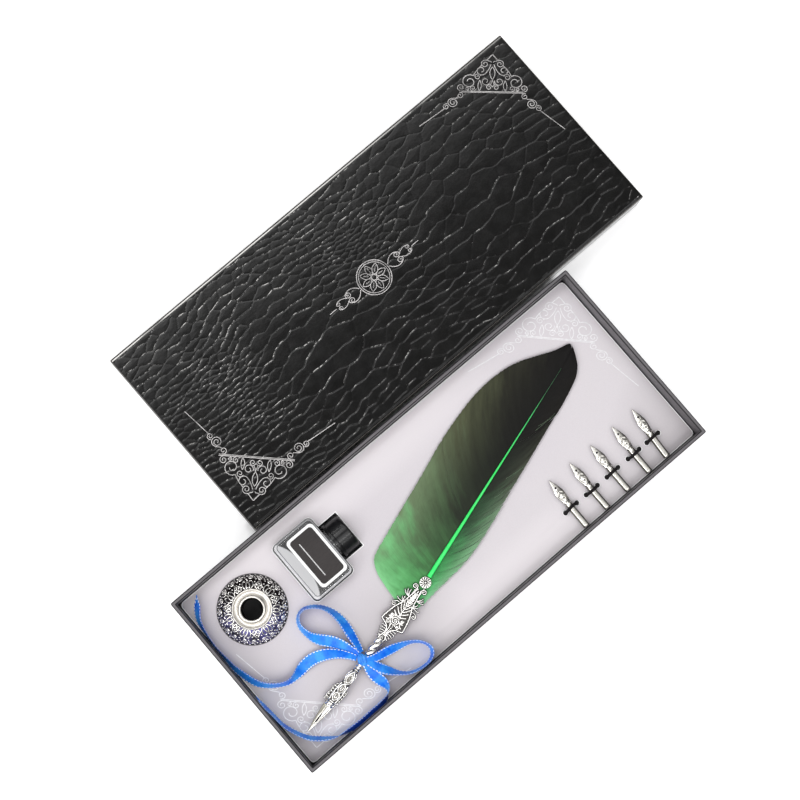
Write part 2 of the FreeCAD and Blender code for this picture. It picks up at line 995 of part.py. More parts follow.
# ---- ribbon: knot round the stem, two loops and two tails --------------------
knot = turned(
    "RibbonKnot",
    [
        (44.2, stem_radius + 0.02),
        (48.8, stem_radius + 0.02),
        (48.8, 2.6),
        (47.6, 3.25),
        (45.4, 3.25),
        (44.2, 2.6),
    ],
    axis="H_Axis",
)
keep(on_pen(knot), "ribbon_knot")
routes = {
    "ribbon_loop_left": [
        (-76.5, -26.2), (-74.9, -18.5), (-73.6, -9.4), (-73.8, -1.9), (-75.8, 3.4), (-80.0, 7.4), (-84.9, 9.3),
        (-89.2, 8.2), (-91.9, 4.2), (-91.9, -1.2), (-89.2, -6.6), (-84.4, -12.1), (-80.6, -18.8), (-78.4, -26.5),
    ],
    "ribbon_loop_right": [
        (-75.1, -33.4), (-67.8, -34.2), (-59.2, -36.2), (-52.4, -39.4), (-48.2, -43.4), (-47.0, -47.8), (-49.6, -51.4),
        (-54.6, -53.0), (-61.0, -52.0), (-66.6, -48.8), (-71.0, -44.0), (-74.2, -38.6), (-76.7, -33.8),
    ],
    "ribbon_tail_left": [
        (-80.2, -26.9), (-83.8, -20.9), (-89.4, -15.9), (-95.8, -12.8), (-101.7, -12.0), (-107.3, -13.3), (-112.7, -14.0),
        (-118.0, -12.6), (-124.4, -8.2), (-129.2, -0.5), (-131.7, 11.0), (-131.1, 25.2), (-128.5, 38.0), (-123.8, 49.6),
    ],
    "ribbon_tail_right": [
        (-78.6, -34.1), (-79.2, -39.4), (-77.9, -44.4), (-77.5, -48.4), (-79.4, -51.4), (-83.4, -52.9), (-89.4, -53.4),
        (-97.0, -53.5), (-104.8, -53.1), (-111.7, -51.6), (-118.2, -48.4), (-123.6, -43.7), (-127.9, -37.4),
        (-130.6, -30.0), (-131.9, -19.8), (-132.2, -8.2),
    ],
}


def strip(points):
    """The path of a strip: straight runs joined by tangent arcs, each as large
    as its two runs allow."""
    edges, radii = [], []
    here = Vector(points[0][0], points[0][1], 0)
    for i in range(1, len(points) - 1):
        p = Vector(points[i][0], points[i][1], 0)
        to_a = Vector(points[i - 1][0], points[i - 1][1], 0) - p
        to_b = Vector(points[i + 1][0], points[i + 1][1], 0) - p
        back = 0.45 * min(to_a.Length, to_b.Length)
        half = (math.pi - to_a.getAngle(to_b)) / 2
        radius = back / math.tan(half)
        radii.append(round(radius, 1))
        to_a.normalize()
        to_b.normalize()
        a, b = p + to_a * back, p + to_b * back
        inward = (to_a + to_b).normalize()
        centre = p + inward * math.hypot(radius, back)
        mid = centre - inward * radius
        edges.append(Part.LineSegment(here, a).toShape())
        edges.append(Part.Arc(a, mid, b).toShape())
        here = b
    edges.append(
        Part.LineSegment(here, Vector(points[-1][0], points[-1][1], 0)).toShape()
    )
    return Part.Wire(edges), radii


for name, points in routes.items():
    path, radii = strip(points)
    start = Vector(points[0][0], points[0][1], 0)
    along = (Vector(points[1][0], points[1][1], 0) - start).normalize()
    side = Vector(-along.y, along.x, 0) * (ribbon_thick.value / 2)
    up = Vector(0, 0, ribbon_width.value)
    section = Part.makePolygon([start - side, start + side, start + side + up, start - side + up, start - side])
    maker = Part.BRepOffsetAPI.MakePipeShell(path)
    maker.setBiNormalMode(Vector(0, 0, 1))
    maker.add(section)
    maker.build()
    maker.makeSolid()
    solid = maker.shape()
    wanted = ribbon_width.value * ribbon_thick.value * path.Length
    print(
        "%s: length %.1f mm, radii %s, volume ratio %.3f"
        % (name, path.Length, radii, solid.Volume / wanted)
    )
    if abs(solid.Volume / wanted - 1) > 0.05:
        raise RuntimeError(name + " has the wrong volume")
    piece = doc.addObject("Part::Feature", name.title().replace("_", ""))
    piece.Shape = solid
    piece.Placement = Placement(Vector(0, 0, ribbon_z.value), Rotation())
    keep(piece, name)

# ---- spare nibs: local x runs from the tip to the shank's end ----------------
for i in range(5):
    tag = "SpareNib%d" % (i + 1)
    nib = padded(
        tag,
        [
            (0.0, 0.1),
            (0.0, -0.1),
            (2.5, -0.75),
            (5.0, -1.5),
            (8.0, -2.15),
            (10.5, -1.95),
            (12.8, -1.3),
            (14.3, -1.1),
            (15.6, -1.4),
            (16.6, -1.4),
            (16.6, 1.4),
            (15.6, 1.4),
            (14.3, 1.1),
            (12.8, 1.3),
            (10.5, 1.95),
            (8.0, 2.15),
            (5.0, 1.5),
            (2.5, 0.75),
        ],
        0.7,
        offset=0.35,
        holes=[(8.6, 0.0, 0.4)],
    )
    turned(
        tag + "Shank",
        [(15.2, shank_in), (nib_length, shank_in), (nib_length, nib_shank_r), (15.2, nib_shank_r)],
        body=nib,
        axis="H_Axis",
    )
    turn = nib_turn[i] + 180.0
    nib.Placement = Placement(Vector(), Rotation(Vector(0, 0, 1), turn))
    # the shank crosses its loop 12.6 mm before its end
    back = nib_length - 12.6
    c, s = math.cos(math.radians(turn)), math.sin(math.radians(turn))
    keep(
        place(nib, Size.of(nib_x[i]) - back * c, loop_y - back * s, shank_z),
        "spare_nib_%d" % (i + 1),
    )

# ---- check and write ----------------------------------------------------------
doc.recompute()
bad = [o.Name for o in doc.Objects if "Invalid" in o.State or "Error" in o.State]
if bad:
    raise RuntimeError("failed objects: %s" % bad)
for obj in nodes:
    if obj.Shape.isNull() or not obj.Shape.isValid() or not obj.Shape.Solids:
        raise RuntimeError("%s has no valid solid" % obj.Label)
names = [o.Label for o in nodes]
if len(set(names)) != len(names):
    raise RuntimeError("two pieces share a name")
os.makedirs("parts", exist_ok=True)
for obj in nodes:
    obj.Shape.exportStep("parts/%s.step" % obj.Label)
print("%d pieces written" % len(nodes))
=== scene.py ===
import json
import math

import bmesh
import bpy
import numpy as np
from mathutils import Matrix, geometry, kdtree

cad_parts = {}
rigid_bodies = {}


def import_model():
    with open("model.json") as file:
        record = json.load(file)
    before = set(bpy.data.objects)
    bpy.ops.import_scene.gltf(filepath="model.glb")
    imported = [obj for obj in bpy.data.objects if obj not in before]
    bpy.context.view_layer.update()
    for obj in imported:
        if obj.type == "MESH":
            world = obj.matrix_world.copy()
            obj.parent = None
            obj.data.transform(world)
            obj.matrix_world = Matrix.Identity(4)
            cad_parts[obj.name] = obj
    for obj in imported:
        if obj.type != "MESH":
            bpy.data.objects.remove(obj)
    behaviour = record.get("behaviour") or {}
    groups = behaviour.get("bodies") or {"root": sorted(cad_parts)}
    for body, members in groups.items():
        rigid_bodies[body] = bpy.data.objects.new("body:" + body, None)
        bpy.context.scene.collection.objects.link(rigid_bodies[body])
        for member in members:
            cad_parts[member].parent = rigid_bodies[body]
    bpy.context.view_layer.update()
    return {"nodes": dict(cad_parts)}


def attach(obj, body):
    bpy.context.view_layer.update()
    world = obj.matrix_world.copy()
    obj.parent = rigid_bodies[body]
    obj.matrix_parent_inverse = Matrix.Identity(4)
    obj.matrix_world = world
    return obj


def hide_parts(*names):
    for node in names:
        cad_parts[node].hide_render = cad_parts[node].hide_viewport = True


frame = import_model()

# Dip pen gift box: black embossed lid beside a charcoal tray whose pale card
# insert holds a pen pot, an ink bottle, a quill pen with a ribbon bow and five
# spare nibs.  Lengths in this file are millimetres until make() scales them.

nodes = frame["nodes"]
scene = bpy.context.scene
scene.view_settings.view_transform = "Standard"
scene.view_settings.look = "None"
rad = math.radians


# ---------------------------------------------------------------- mesh tools
class Shape:
    """Vertices and faces of one piece, gathered bit by bit."""

    def __init__(self):
        self.verts, self.faces, self.ids, self.count = [], [], [], 0
        self.extra = []

    def add(self, verts, faces, mat=0, extra=None):
        verts = np.asarray(verts, float).reshape(-1, 3)
        k = self.count
        self.verts.append(verts)
        self.faces += [tuple(int(i) + k for i in f) for f in faces]
        self.ids += [mat] * len(faces)
        self.extra.append(
            np.zeros((len(verts), 3)) if extra is None else np.asarray(extra, float).reshape(-1, 3)
        )
        self.count += len(verts)
        return self

    def rings(self, rings, closed=True, caps=(True, True), mat=0, loop=False, extra=None):
        """A skin over rings of equal length."""
        rings = np.asarray(rings, float)
        m, n = rings.shape[:2]
        i = np.arange(m if loop else m - 1)[:, None]
        j = np.arange(n if closed else n - 1)[None, :]
        k = (j + 1) % n
        a, b = i * n, ((i + 1) % m) * n
        faces = np.stack([a + j, a + k, b + k, b + j], -1).reshape(-1, 4).tolist()
        if closed and not loop:
            if caps[0]:
                faces.append(list(range(n))[::-1])
            if caps[1]:
                faces.append([(m - 1) * n + q for q in range(n)])
        return self.add(rings.reshape(-1, 3), faces, mat, extra)

    def tube(self, pts, r, sides=8, up=None, flat=1.0, mat=0, loop=False, ends=True):
        """A round or flattened wire along points."""
        p = np.asarray(pts, float)
        n = len(p)
        r = np.broadcast_to(np.asarray(r, float), (n,)).copy()
        if loop:
            t = np.roll(p, -1, 0) - np.roll(p, 1, 0)
        else:
            t = np.gradient(p, axis=0)
        t /= np.linalg.norm(t, axis=1)[:, None] + 1e-12
        if up is None:
            u = np.zeros_like(p)
            ref = np.array([0.0, 0.0, 1.0]) if abs(t[0, 2]) < 0.9 else np.array([1.0, 0.0, 0.0])
            for i in range(n):
                ref = ref - t[i] * ref.dot(t[i])
                ref /= np.linalg.norm(ref) + 1e-12
                u[i] = ref
        else:
            u = np.broadcast_to(np.asarray(up, float), (n, 3)).copy()
            u -= t * (u * t).sum(1)[:, None]
            u /= np.linalg.norm(u, axis=1)[:, None] + 1e-12
        b = np.cross(u, t)
        if ends and not loop:
            first, last = p[0], p[-1]
            p = np.concatenate(
                [[first - t[0] * r[0] * 0.62, first - t[0] * r[0] * 0.45], p, [last + t[-1] * r[-1] * 0.45, last + t[-1] * r[-1] * 0.62]]
            )
            r = np.concatenate([[r[0] * 0.3, r[0] * 0.72], r, [r[-1] * 0.72, r[-1] * 0.3]])
            u = np.concatenate([[u[0]] * 2, u, [u[-1]] * 2])
            b = np.concatenate([[b[0]] * 2, b, [b[-1]] * 2])
        a = np.linspace(0, 2 * np.pi, sides, endpoint=False)
        rings = (
            p[:, None]
            + b[:, None] * (np.cos(a)[None, :, None] * r[:, None, None])
            + u[:, None] * (np.sin(a)[None, :, None] * r[:, None, None] * flat)
        )
        return self.rings(rings, mat=mat, loop=loop)

    def ball(self, c, r, flat=1.0, up=(0, 0, 1), sides=10, rows=6, mat=0):
        """A bead, flattened along up."""
        up = np.asarray(up, float) / np.linalg.norm(up)
        ref = np.array([1.0, 0, 0]) if abs(up[0]) < 0.8 else np.array([0, 1.0, 0])
        e1 = np.cross(up, ref)
        e1 /= np.linalg.norm(e1)
        e2 = np.cross(up, e1)
        th = np.linspace(0.12, np.pi - 0.12, rows)
        a = np.linspace(0, 2 * np.pi, sides, endpoint=False)
        rings = (
            np.asarray(c, float)
            + up * (np.cos(th)[:, None, None] * r * flat)
            + (e1 * np.cos(a)[None, :, None] + e2 * np.sin(a)[None, :, None]) * (np.sin(th)[:, None, None] * r)
        )
        return self.rings(rings, mat=mat)

    def lathe(self, profile, sides=64, place=None, mat=0, loop=False):
        """A turned form from (radius, height) points about the local z axis."""
        a = np.linspace(0, 2 * np.pi, sides, endpoint=False)
        pr = np.asarray(profile, float)
        rings = np.stack(
            [pr[:, 0:1] * np.cos(a), pr[:, 0:1] * np.sin(a), np.repeat(pr[:, 1:2], sides, 1)], -1
        )
        if place is not None:
            rings = place(rings)
        return self.rings(rings, mat=mat, loop=loop)

    def sheet(self, grid, thick, up=(0, 0, -1.0), mat=0, extra=None):
        """A closed thin shell from an open grid of points and a thickness."""
        g = np.asarray(grid, float)
        m, n = g.shape[:2]
        low = g + np.asarray(up, float) * (thick if np.isscalar(thick) else np.asarray(thick)[..., None])
        idx = np.arange(m * n).reshape(m, n)
        top = np.stack([idx[:-1, :-1], idx[1:, :-1], idx[1:, 1:], idx[:-1, 1:]], -1).reshape(-1, 4)
        under = top[:, ::-1] + m * n
        rim = np.concatenate([idx[0, :], idx[1:, -1], idx[-1, -2::-1], idx[-2:0:-1, 0]])
        nxt = np.roll(rim, -1)
        side = np.stack([rim, nxt, nxt + m * n, rim + m * n], -1)
        faces = np.concatenate([top, under, side]).tolist()
        ex = None if extra is None else np.concatenate([extra.reshape(-1, 3)] * 2)
        return self.add(np.concatenate([g.reshape(-1, 3), low.reshape(-1, 3)]), faces, mat, ex)


def bez(p0, p1, p2, p3, n=12):
    t = np.linspace(0, 1, n)[:, None]
    p0, p1, p2, p3 = (np.asarray(p, float) for p in (p0, p1, p2, p3))
    return (1 - t) ** 3 * p0 + 3 * (1 - t) ** 2 * t * p1 + 3 * (1 - t) * t**2 * p2 + t**3 * p3


def spiral(c, r0, r1, a0, sweep, n=None):
    """A flat curl in degrees that tightens from r0 to r1 round c."""
    n = n or max(10, int(abs(sweep) / 22))
    t = np.linspace(0, 1, n)
    a = np.radians(a0 + sweep * t)
    r = r0 + (r1 - r0) * t**1.15
    return np.stack([c[0] + r * np.cos(a), c[1] + r * np.sin(a)], -1)


def smooth_path(points, n=12, closed=False):
    """A Catmull-Rom curve through points."""
    p = np.asarray(points, float)
    if closed:
        p = np.concatenate([p[-1:], p, p[:2]])
    else:
        p = np.concatenate([2 * p[:1] - p[1:2], p, 2 * p[-1:] - p[-2:-1]])
    out = []
    t = np.linspace(0, 1, n, endpoint=False)[:, None]
    for i in range(1, len(p) - 2):
        a, b, c, d = p[i - 1], p[i], p[i + 1], p[i + 2]
        out.append(
            0.5 * (2 * b + (c - a) * t + (2 * a - 5 * b + 4 * c - d) * t**2 + (3 * b - a - 3 * c + d) * t**3)
        )
    if not closed:
        out.append(p[-2:-1])
    return np.concatenate(out)


def resample(path, n):
    """n points evenly spaced along a path."""
    p = np.asarray(path, float)
    s = np.concatenate([[0], np.cumsum(np.linalg.norm(np.diff(p, axis=0), axis=1))])
    q = np.linspace(0, s[-1], n)
    return np.stack([np.interp(q, s, p[:, k]) for k in range(p.shape[1])], -1)


def make(name, shape, mats, body, node=(), sharp=40.0, attr=None, weld=True):
    """The finished piece: a mesh in metres that rides a body."""
    me = bpy.data.meshes.new(name)
    verts = np.concatenate(shape.verts) * 0.001
    me.from_pydata(verts.tolist(), [], shape.faces)
    me.polygons.foreach_set("material_index", np.array(shape.ids, np.int32))
    if attr:
        layer = me.attributes.new(attr, "FLOAT_VECTOR", "POINT")
        layer.data.foreach_set("vector", np.concatenate(shape.extra).astype(np.float32).ravel())
    bm = bmesh.new()
    bm.from_mesh(me)
    if weld:
        bmesh.ops.remove_doubles(bm, verts=bm.verts, dist=3e-7)
    bmesh.ops.recalc_face_normals(bm, faces=bm.faces)
    bm.to_mesh(me)
    bm.free()
    me.polygons.foreach_set("use_smooth", np.ones(len(me.polygons), bool))
    me.set_sharp_from_angle(angle=rad(sharp))
    for m in mats if isinstance(mats, (list, tuple)) else [mats]:
        me.materials.append(m)
    me.update()
    o = bpy.data.objects.new(name, me)
    scene.collection.objects.link(o)
    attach(o, body)
    if node:
        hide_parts(*([node] if isinstance(node, str) else node))
    return o


# ---------------------------------------------------------------- materials
class Mat:
    """A node material, built round one Principled shader."""

    def __init__(self, name, **values):
        self.m = bpy.data.materials.new(name)
        self.m.use_nodes = True
        self.t = self.m.node_tree
        self.t.nodes.clear()
        self.out = self.t.nodes.new("ShaderNodeOutputMaterial")
        self.b = self.t.nodes.new("ShaderNodeBsdfPrincipled")
        self.t.links.new(self.b.outputs[0], self.out.inputs[0])
        self.set(**values)

    def set(self, **values):
        for k, v in values.items():
            key = {
                "color": "Base Color",
                "rough": "Roughness",
                "metal": "Metallic",
                "ior": "IOR",
                "spec": "Specular IOR Level",
                "trans": "Transmission Weight",
                "coat": "Coat Weight",
                "coat_rough": "Coat Roughness",
                "sheen": "Sheen Weight",
                "sheen_rough": "Sheen Roughness",
                "sheen_tint": "Sheen Tint",
                "aniso": "Anisotropic",
                "sss": "Subsurface Weight",
                "normal": "Normal",
                "glow": "Emission Color",
                "glow_power": "Emission Strength",
            }[k]
            sock = self.b.inputs[key]
            if isinstance(v, bpy.types.NodeSocket):
                self.t.links.new(v, sock)
            elif key in ("Base Color", "Sheen Tint", "Emission Color"):
                sock.default_value = (*v, 1.0)
            else:
                sock.default_value = v
        return self

    def put(self, node, key, v):
        sock = node.inputs[key]
        if isinstance(v, bpy.types.NodeSocket):
            self.t.links.new(v, sock)
        elif sock.type == "RGBA":
            sock.default_value = (*v, 1.0) if len(v) == 3 else v
        else:
            sock.default_value = v

    def at(self, scale=(1, 1, 1), turn=(0, 0, 0)):
        """The piece's own coordinates in metres, stretched."""
        c = self.t.nodes.new("ShaderNodeTexCoord")
        mp = self.t.nodes.new("ShaderNodeMapping")
        mp.inputs["Scale"].default_value = scale
        mp.inputs["Rotation"].default_value = turn
        self.t.links.new(c.outputs["Object"], mp.inputs["Vector"])
        return mp.outputs[0]

    def facing(self):
        """The piece's own surface direction."""
        return self.t.nodes.new("ShaderNodeTexCoord").outputs["Normal"]

    def attr(self, name):
        a = self.t.nodes.new("ShaderNodeAttribute")
        a.attribute_name = name
        return a.outputs["Vector"]

    def split(self, vec):
        s = self.t.nodes.new("ShaderNodeSeparateXYZ")
        self.put(s, 0, vec)
        return s.outputs

    def join(self, x, y, z=0.0):
        s = self.t.nodes.new("ShaderNodeCombineXYZ")
        for i, v in enumerate((x, y, z)):
            self.put(s, i, v)
        return s.outputs[0]

    def noise(self, vec, scale, detail=4.0, rough=0.55, distort=0.0):
        n = self.t.nodes.new("ShaderNodeTexNoise")
        self.put(n, "Vector", vec)
        n.inputs["Scale"].default_value = scale
        n.inputs["Detail"].default_value = detail
        n.inputs["Roughness"].default_value = rough
        n.inputs["Distortion"].default_value = distort
        return n.outputs[0]

    def cells(self, vec, scale, feature="F1", out=0):
        n = self.t.nodes.new("ShaderNodeTexVoronoi")
        n.feature = feature
        self.put(n, "Vector", vec)
        n.inputs["Scale"].default_value = scale
        return n.outputs[out]

    def wave(self, vec, scale, distort=0.0, direction="X"):
        n = self.t.nodes.new("ShaderNodeTexWave")
        n.bands_direction = direction
        self.put(n, "Vector", vec)
        n.inputs["Scale"].default_value = scale
        n.inputs["Distortion"].default_value = distort
        return n.outputs[1]

    def ramp(self, fac, stops):
        r = self.t.nodes.new("ShaderNodeValToRGB")
        self.put(r, 0, fac)
        e = r.color_ramp.elements
        while len(e) < len(stops):
            e.new(0.5)
        for s, (pos, col) in zip(e, stops):
            s.position = pos
            s.color = (*col, 1.0) if len(col) == 3 else col
        return r.outputs[0]

    def level(self, fac, lo, hi, to_lo=0.0, to_hi=1.0):
        r = self.t.nodes.new("ShaderNodeMapRange")
        for k, v in (("Value", fac), ("From Min", lo), ("From Max", hi), ("To Min", to_lo), ("To Max", to_hi)):
            self.put(r, k, v)
        return r.outputs[0]

    def mix(self, fac, a, b, kind="MIX"):
        n = self.t.nodes.new("ShaderNodeMix")
        n.data_type = "RGBA"
        n.blend_type = kind
        self.put(n, 0, fac)
        self.put(n, 6, a)
        self.put(n, 7, b)
        return n.outputs[2]

    def math(self, op, a, b=0.0, c=None):
        n = self.t.nodes.new("ShaderNodeMath")
        n.operation = op
        self.put(n, 0, a)
        self.put(n, 1, b)
        if c is not None:
            self.put(n, 2, c)
        return n.outputs[0]

    def bump(self, height, strength, distance, base=None):
        n = self.t.nodes.new("ShaderNodeBump")
        n.inputs["Strength"].default_value = strength
        n.inputs["Distance"].default_value = distance
        self.put(n, "Height", height)
        if base is not None:
            self.t.links.new(base, n.inputs["Normal"])
        return n.outputs[0]


def srgb(r, g, b):
    """A colour picked in screen values, as the shaders' linear light."""
    return tuple(((c / 255 + 0.055) / 1.055) ** 2.4 if c > 10 else c / 255 / 12.92 for c in (r, g, b))


def paper_mat(name, color, rough, grain=900.0, depth=0.00004, spread=0.12, spec=0.5, scuff=0.0):
    """Coated or raw paper: fibres, faint clouding and a soft gloss."""
    m = Mat(name, spec=spec)
    at = m.at()
    fibre = m.noise(m.at((1.0, 3.2, 1.0), (0, 0, 0.4)), grain, 5.0, 0.62, 0.4)
    cloud = m.noise(at, 34.0, 3.0)
    dark = tuple(c * (1 - spread) for c in color)
    light = tuple(min(1.0, c * (1 + spread) + scuff) for c in color)
    m.set(color=m.ramp(m.math("ADD", m.math("MULTIPLY", fibre, 0.6), m.math("MULTIPLY", cloud, 0.4)), [(0.3, dark), (0.7, light)]))
    m.set(rough=m.level(cloud, 0.3, 0.7, rough - 0.05, rough + 0.07))
    m.set(normal=m.bump(fibre, 0.35, depth))
    return m.m


def metal_mat(name, color, rough, tarnish=0.0, mottle=0.08, grain=0.000005):
    """Cast or plated metal with small tarnish marks."""
    m = Mat(name, metal=1.0)
    at = m.at()
    fine = m.noise(at, 900.0, 3.0, 0.6)
    big = m.noise(at, 140.0, 3.0, 0.6)
    low = tuple(c * (1 - tarnish) for c in color)
    m.set(color=m.ramp(big, [(0.35, low), (0.62, color)]))
    m.set(rough=m.level(big, 0.3, 0.7, max(0.03, rough - mottle * 0.5), rough + mottle))
    m.set(normal=m.bump(fine, 0.12, grain))
    return m.m


charcoal = paper_mat("charcoal_paper", (0.118, 0.11, 0.119), 0.42, 800.0, 0.00005, 0.16)
# near-black paper for painted shade on the tray rim's rounded edges
charcoal_edge_shade = paper_mat("charcoal_edge_shade", (0.016, 0.015, 0.016), 0.5, 800.0, 0.00005, 0.14, 0.3)
board_grey = paper_mat("grey_board", (0.27, 0.255, 0.235), 0.85, 420.0, 0.0001, 0.25, 0.2)
liner = paper_mat("black_liner_paper", (0.018, 0.018, 0.019), 0.5, 700.0, 0.00004, 0.2)
white_paper = paper_mat("label_white", (0.86, 0.86, 0.86), 0.42, 1100.0, 0.00001, 0.03)
label_field = paper_mat("label_field", srgb(44, 39, 39), 0.36, 500.0, 0.00001, 0.3, 0.36)
panel_edge = paper_mat("panel_edge", (0.95, 0.95, 0.95), 0.7, 900.0, 0.00004, 0.06)
# painted shade: dark grey paper for the wall of the pot's hole in the card
hole_shade = paper_mat("hole_shade", (0.2, 0.19, 0.2), 0.7, 900.0, 0.00004, 0.1, 0.2)


def panel_material():
    m = Mat("panel_card", spec=0.35)
    at = m.at()
    cloud = m.noise(at, 9.0, 2.0)
    fibre = m.noise(m.at((1, 2.2, 1)), 1100.0, 4.0)
    tone = m.ramp(cloud, [(0.3, (0.585, 0.565, 0.605)), (0.7, (0.635, 0.62, 0.645))])
    tone = m.mix(0.12, tone, m.ramp(fibre, [(0.35, (0.5, 0.49, 0.52)), (0.65, (0.72, 0.71, 0.73))]))
    s = m.split(at)
    # painted light: the card is lighter near the long walls, except towards the right end, to offset the walls' shade
    border = m.math("MULTIPLY", m.level(m.math("ABSOLUTE", s[1]), 0.03, 0.053), m.level(s[0], 0.1, 0.04))
    tone = m.mix(border, tone, (0.74, 0.72, 0.75))
    # painted shade: the card darkens towards its left end, as in the left wall's shadow
    tone = m.mix(m.math("MULTIPLY", m.math("POWER", m.level(s[0], -0.06, -0.132), 3.0), 0.85), tone, (0.43, 0.418, 0.44))
    # painted shade: the card darkens round its right near corner
    rx, ry = m.math("ADD", s[0], -0.135), m.math("ADD", s[1], 0.055)
    away = m.math("SQRT", m.math("ADD", m.math("MULTIPLY", rx, rx), m.math("MULTIPLY", ry, ry)))
    tone = m.mix(m.level(away, 0.05, 0.01, 0.0, 0.5), tone, (0.3, 0.285, 0.3))
    # painted shadow: the card darkens round the ribbon bow
    dx, dy = m.math("ADD", s[0], 0.066), m.math("ADD", s[1], 0.036)
    off = m.math("ADD", m.math("MULTIPLY", dx, dx), m.math("MULTIPLY", m.math("MULTIPLY", dy, dy), 1.6))
    tone = m.mix(m.level(m.math("SQRT", off), 0.05, 0.012, 0.0, 0.8), tone, (0.44, 0.425, 0.44))
    m.set(color=m.mix(1.0, tone, (1.0, 0.967, 0.962), "MULTIPLY"))
    m.set(rough=m.level(cloud, 0.3, 0.7, 0.4, 0.5))
    m.set(normal=m.bump(fibre, 0.25, 0.00002))
    return m.m


def lid_material():
    m = Mat("embossed_black_paper", spec=0.44)
    at = m.at()
    grain = m.noise(at, 1400.0, 4.0, 0.6)
    pores = m.cells(at, 900.0)
    cloud = m.noise(at, 60.0, 3.0)
    # painted glints: the colour turns bright where the mesh's glint mask is set
    glint_mask = m.split(m.attr("glint_paint"))[0]
    m.set(color=m.mix(glint_mask, m.ramp(cloud, [(0.3, (0.0026, 0.0025, 0.0024)), (0.7, (0.0052, 0.005, 0.0048))]), (0.86, 0.84, 0.81)))
    m.set(rough=m.level(m.noise(at, 160.0, 4.0), 0.3, 0.7, 0.1, 0.18))
    m.set(normal=m.bump(m.math("ADD", grain, m.math("MULTIPLY", pores, 0.5)), 0.12, 0.00003))
    return m.m


panel = panel_material()
lid_paper = lid_material()
foil = metal_mat("silver_foil", (0.5, 0.485, 0.48), 0.32, 0.45, 0.14)
silver = metal_mat("polished_silver", (0.93, 0.915, 0.885), 0.19, 0.1)
silver_soft = metal_mat("satin_silver", (0.95, 0.93, 0.89), 0.3, 0.06)


def patina_material():
    """Blackened metal, lighter and tinged violet on the side away from the lid."""
    m = Mat("pot_patina", metal=1.0)
    at = m.at()
    s = m.split(at)
    lean = m.math("ADD", m.math("MULTIPLY", m.math("ADD", s[0], 0.105), -0.64), m.math("MULTIPLY", m.math("ADD", s[1], -0.0272), -0.76))
    n = m.noise(at, 130.0, 3.0)
    violet_side = m.math("MULTIPLY", m.level(lean, -0.004, 0.012), m.level(n, 0.42, 0.6))
    ground = m.mix(m.level(lean, -0.006, 0.014), (0.02, 0.017, 0.018), (0.11, 0.1, 0.115))
    m.set(color=m.mix(violet_side, ground, (0.15, 0.14, 0.36)))
    m.set(rough=m.level(n, 0.3, 0.7, 0.4, 0.52), normal=m.bump(m.noise(at, 900.0, 3.0), 0.15, 0.00002))
    return m.m


patina = patina_material()
# dark silver used only for painted shade on the nibs, the filigree and the flower disc
silver_shade_dark = metal_mat("silver_painted_shade", (0.05, 0.046, 0.05), 0.38, 0.5, 0.12)
ivory_metal = metal_mat("mouth_silver", (0.8, 0.77, 0.72), 0.3, 0.12)
steel_shade = metal_mat("steel_shade", (0.3, 0.29, 0.245), 0.26, 0.1)
# dark silver: the grip casting's own dark ground, and painted shade for its web and under-wires
silver_old_and_shade = metal_mat("silver_old_and_shade", (0.2, 0.188, 0.172), 0.36, 0.25)
# dark silver for the painted shade behind the filigree
silver_deep = metal_mat("silver_deep", (0.085, 0.08, 0.076), 0.4, 0.25)
steel = metal_mat("nib_steel", (0.7, 0.68, 0.635), 0.16, 0.05, 0.06, 0.000002)


def print_material():
    m = Mat("panel_print", spec=0.6)
    n = m.noise(m.at(), 500.0, 3.0)
    m.set(color=m.ramp(n, [(0.35, (0.71, 0.705, 0.725)), (0.65, (0.78, 0.775, 0.79))]))
    m.set(rough=m.level(n, 0.3, 0.7, 0.22, 0.34))
    return m.m


panel_print = print_material()


def plastic_material(name, color, rough, spec=0.5, grain=0.00001):
    m = Mat(name, spec=spec)
    at = m.at()
    n = m.noise(at, 260.0, 3.0)
    f = m.noise(at, 1500.0, 3.0)
    m.set(color=m.ramp(n, [(0.3, tuple(c * 0.85 for c in color)), (0.7, tuple(c * 1.15 for c in color))]))
    m.set(rough=m.level(n, 0.3, 0.7, rough - 0.03, rough + 0.05))
    m.set(normal=m.bump(f, 0.2, grain))
    return m.m


cap_black = plastic_material("cap_plastic", (0.006, 0.006, 0.007), 0.2, 0.42)
sleeve_black = plastic_material("black_plastic", (0.006, 0.006, 0.006), 0.45)
ink = plastic_material("black_ink", (0.003, 0.003, 0.004), 0.08)
seal = paper_mat("seal_foam", (0.72, 0.71, 0.68), 0.8, 600.0, 0.0001, 0.1, 0.2)


def felt_material():
    m = Mat("black_felt", spec=0.2, sheen=0.4, sheen_rough=0.6)
    n = m.noise(m.at(), 1400.0, 6.0, 0.7, 0.8)
    m.set(color=m.ramp(n, [(0.3, (0.008, 0.008, 0.009)), (0.7, (0.03, 0.03, 0.032))]), rough=0.95)
    m.set(normal=m.bump(n, 0.7, 0.0002))
    return m.m


felt = felt_material()


def foam_material():
    m = Mat("grey_foam", spec=0.15)
    at = m.at()
    pore = m.cells(at, 1300.0)
    n = m.noise(at, 300.0, 4.0)
    m.set(color=m.ramp(pore, [(0.0, (0.42, 0.42, 0.43)), (0.45, (0.68, 0.68, 0.69)), (1.0, (0.78, 0.78, 0.79))]))
    m.set(rough=m.level(n, 0.3, 0.7, 0.85, 0.97), normal=m.bump(pore, 0.6, 0.00025))
    return m.m


foam = foam_material()


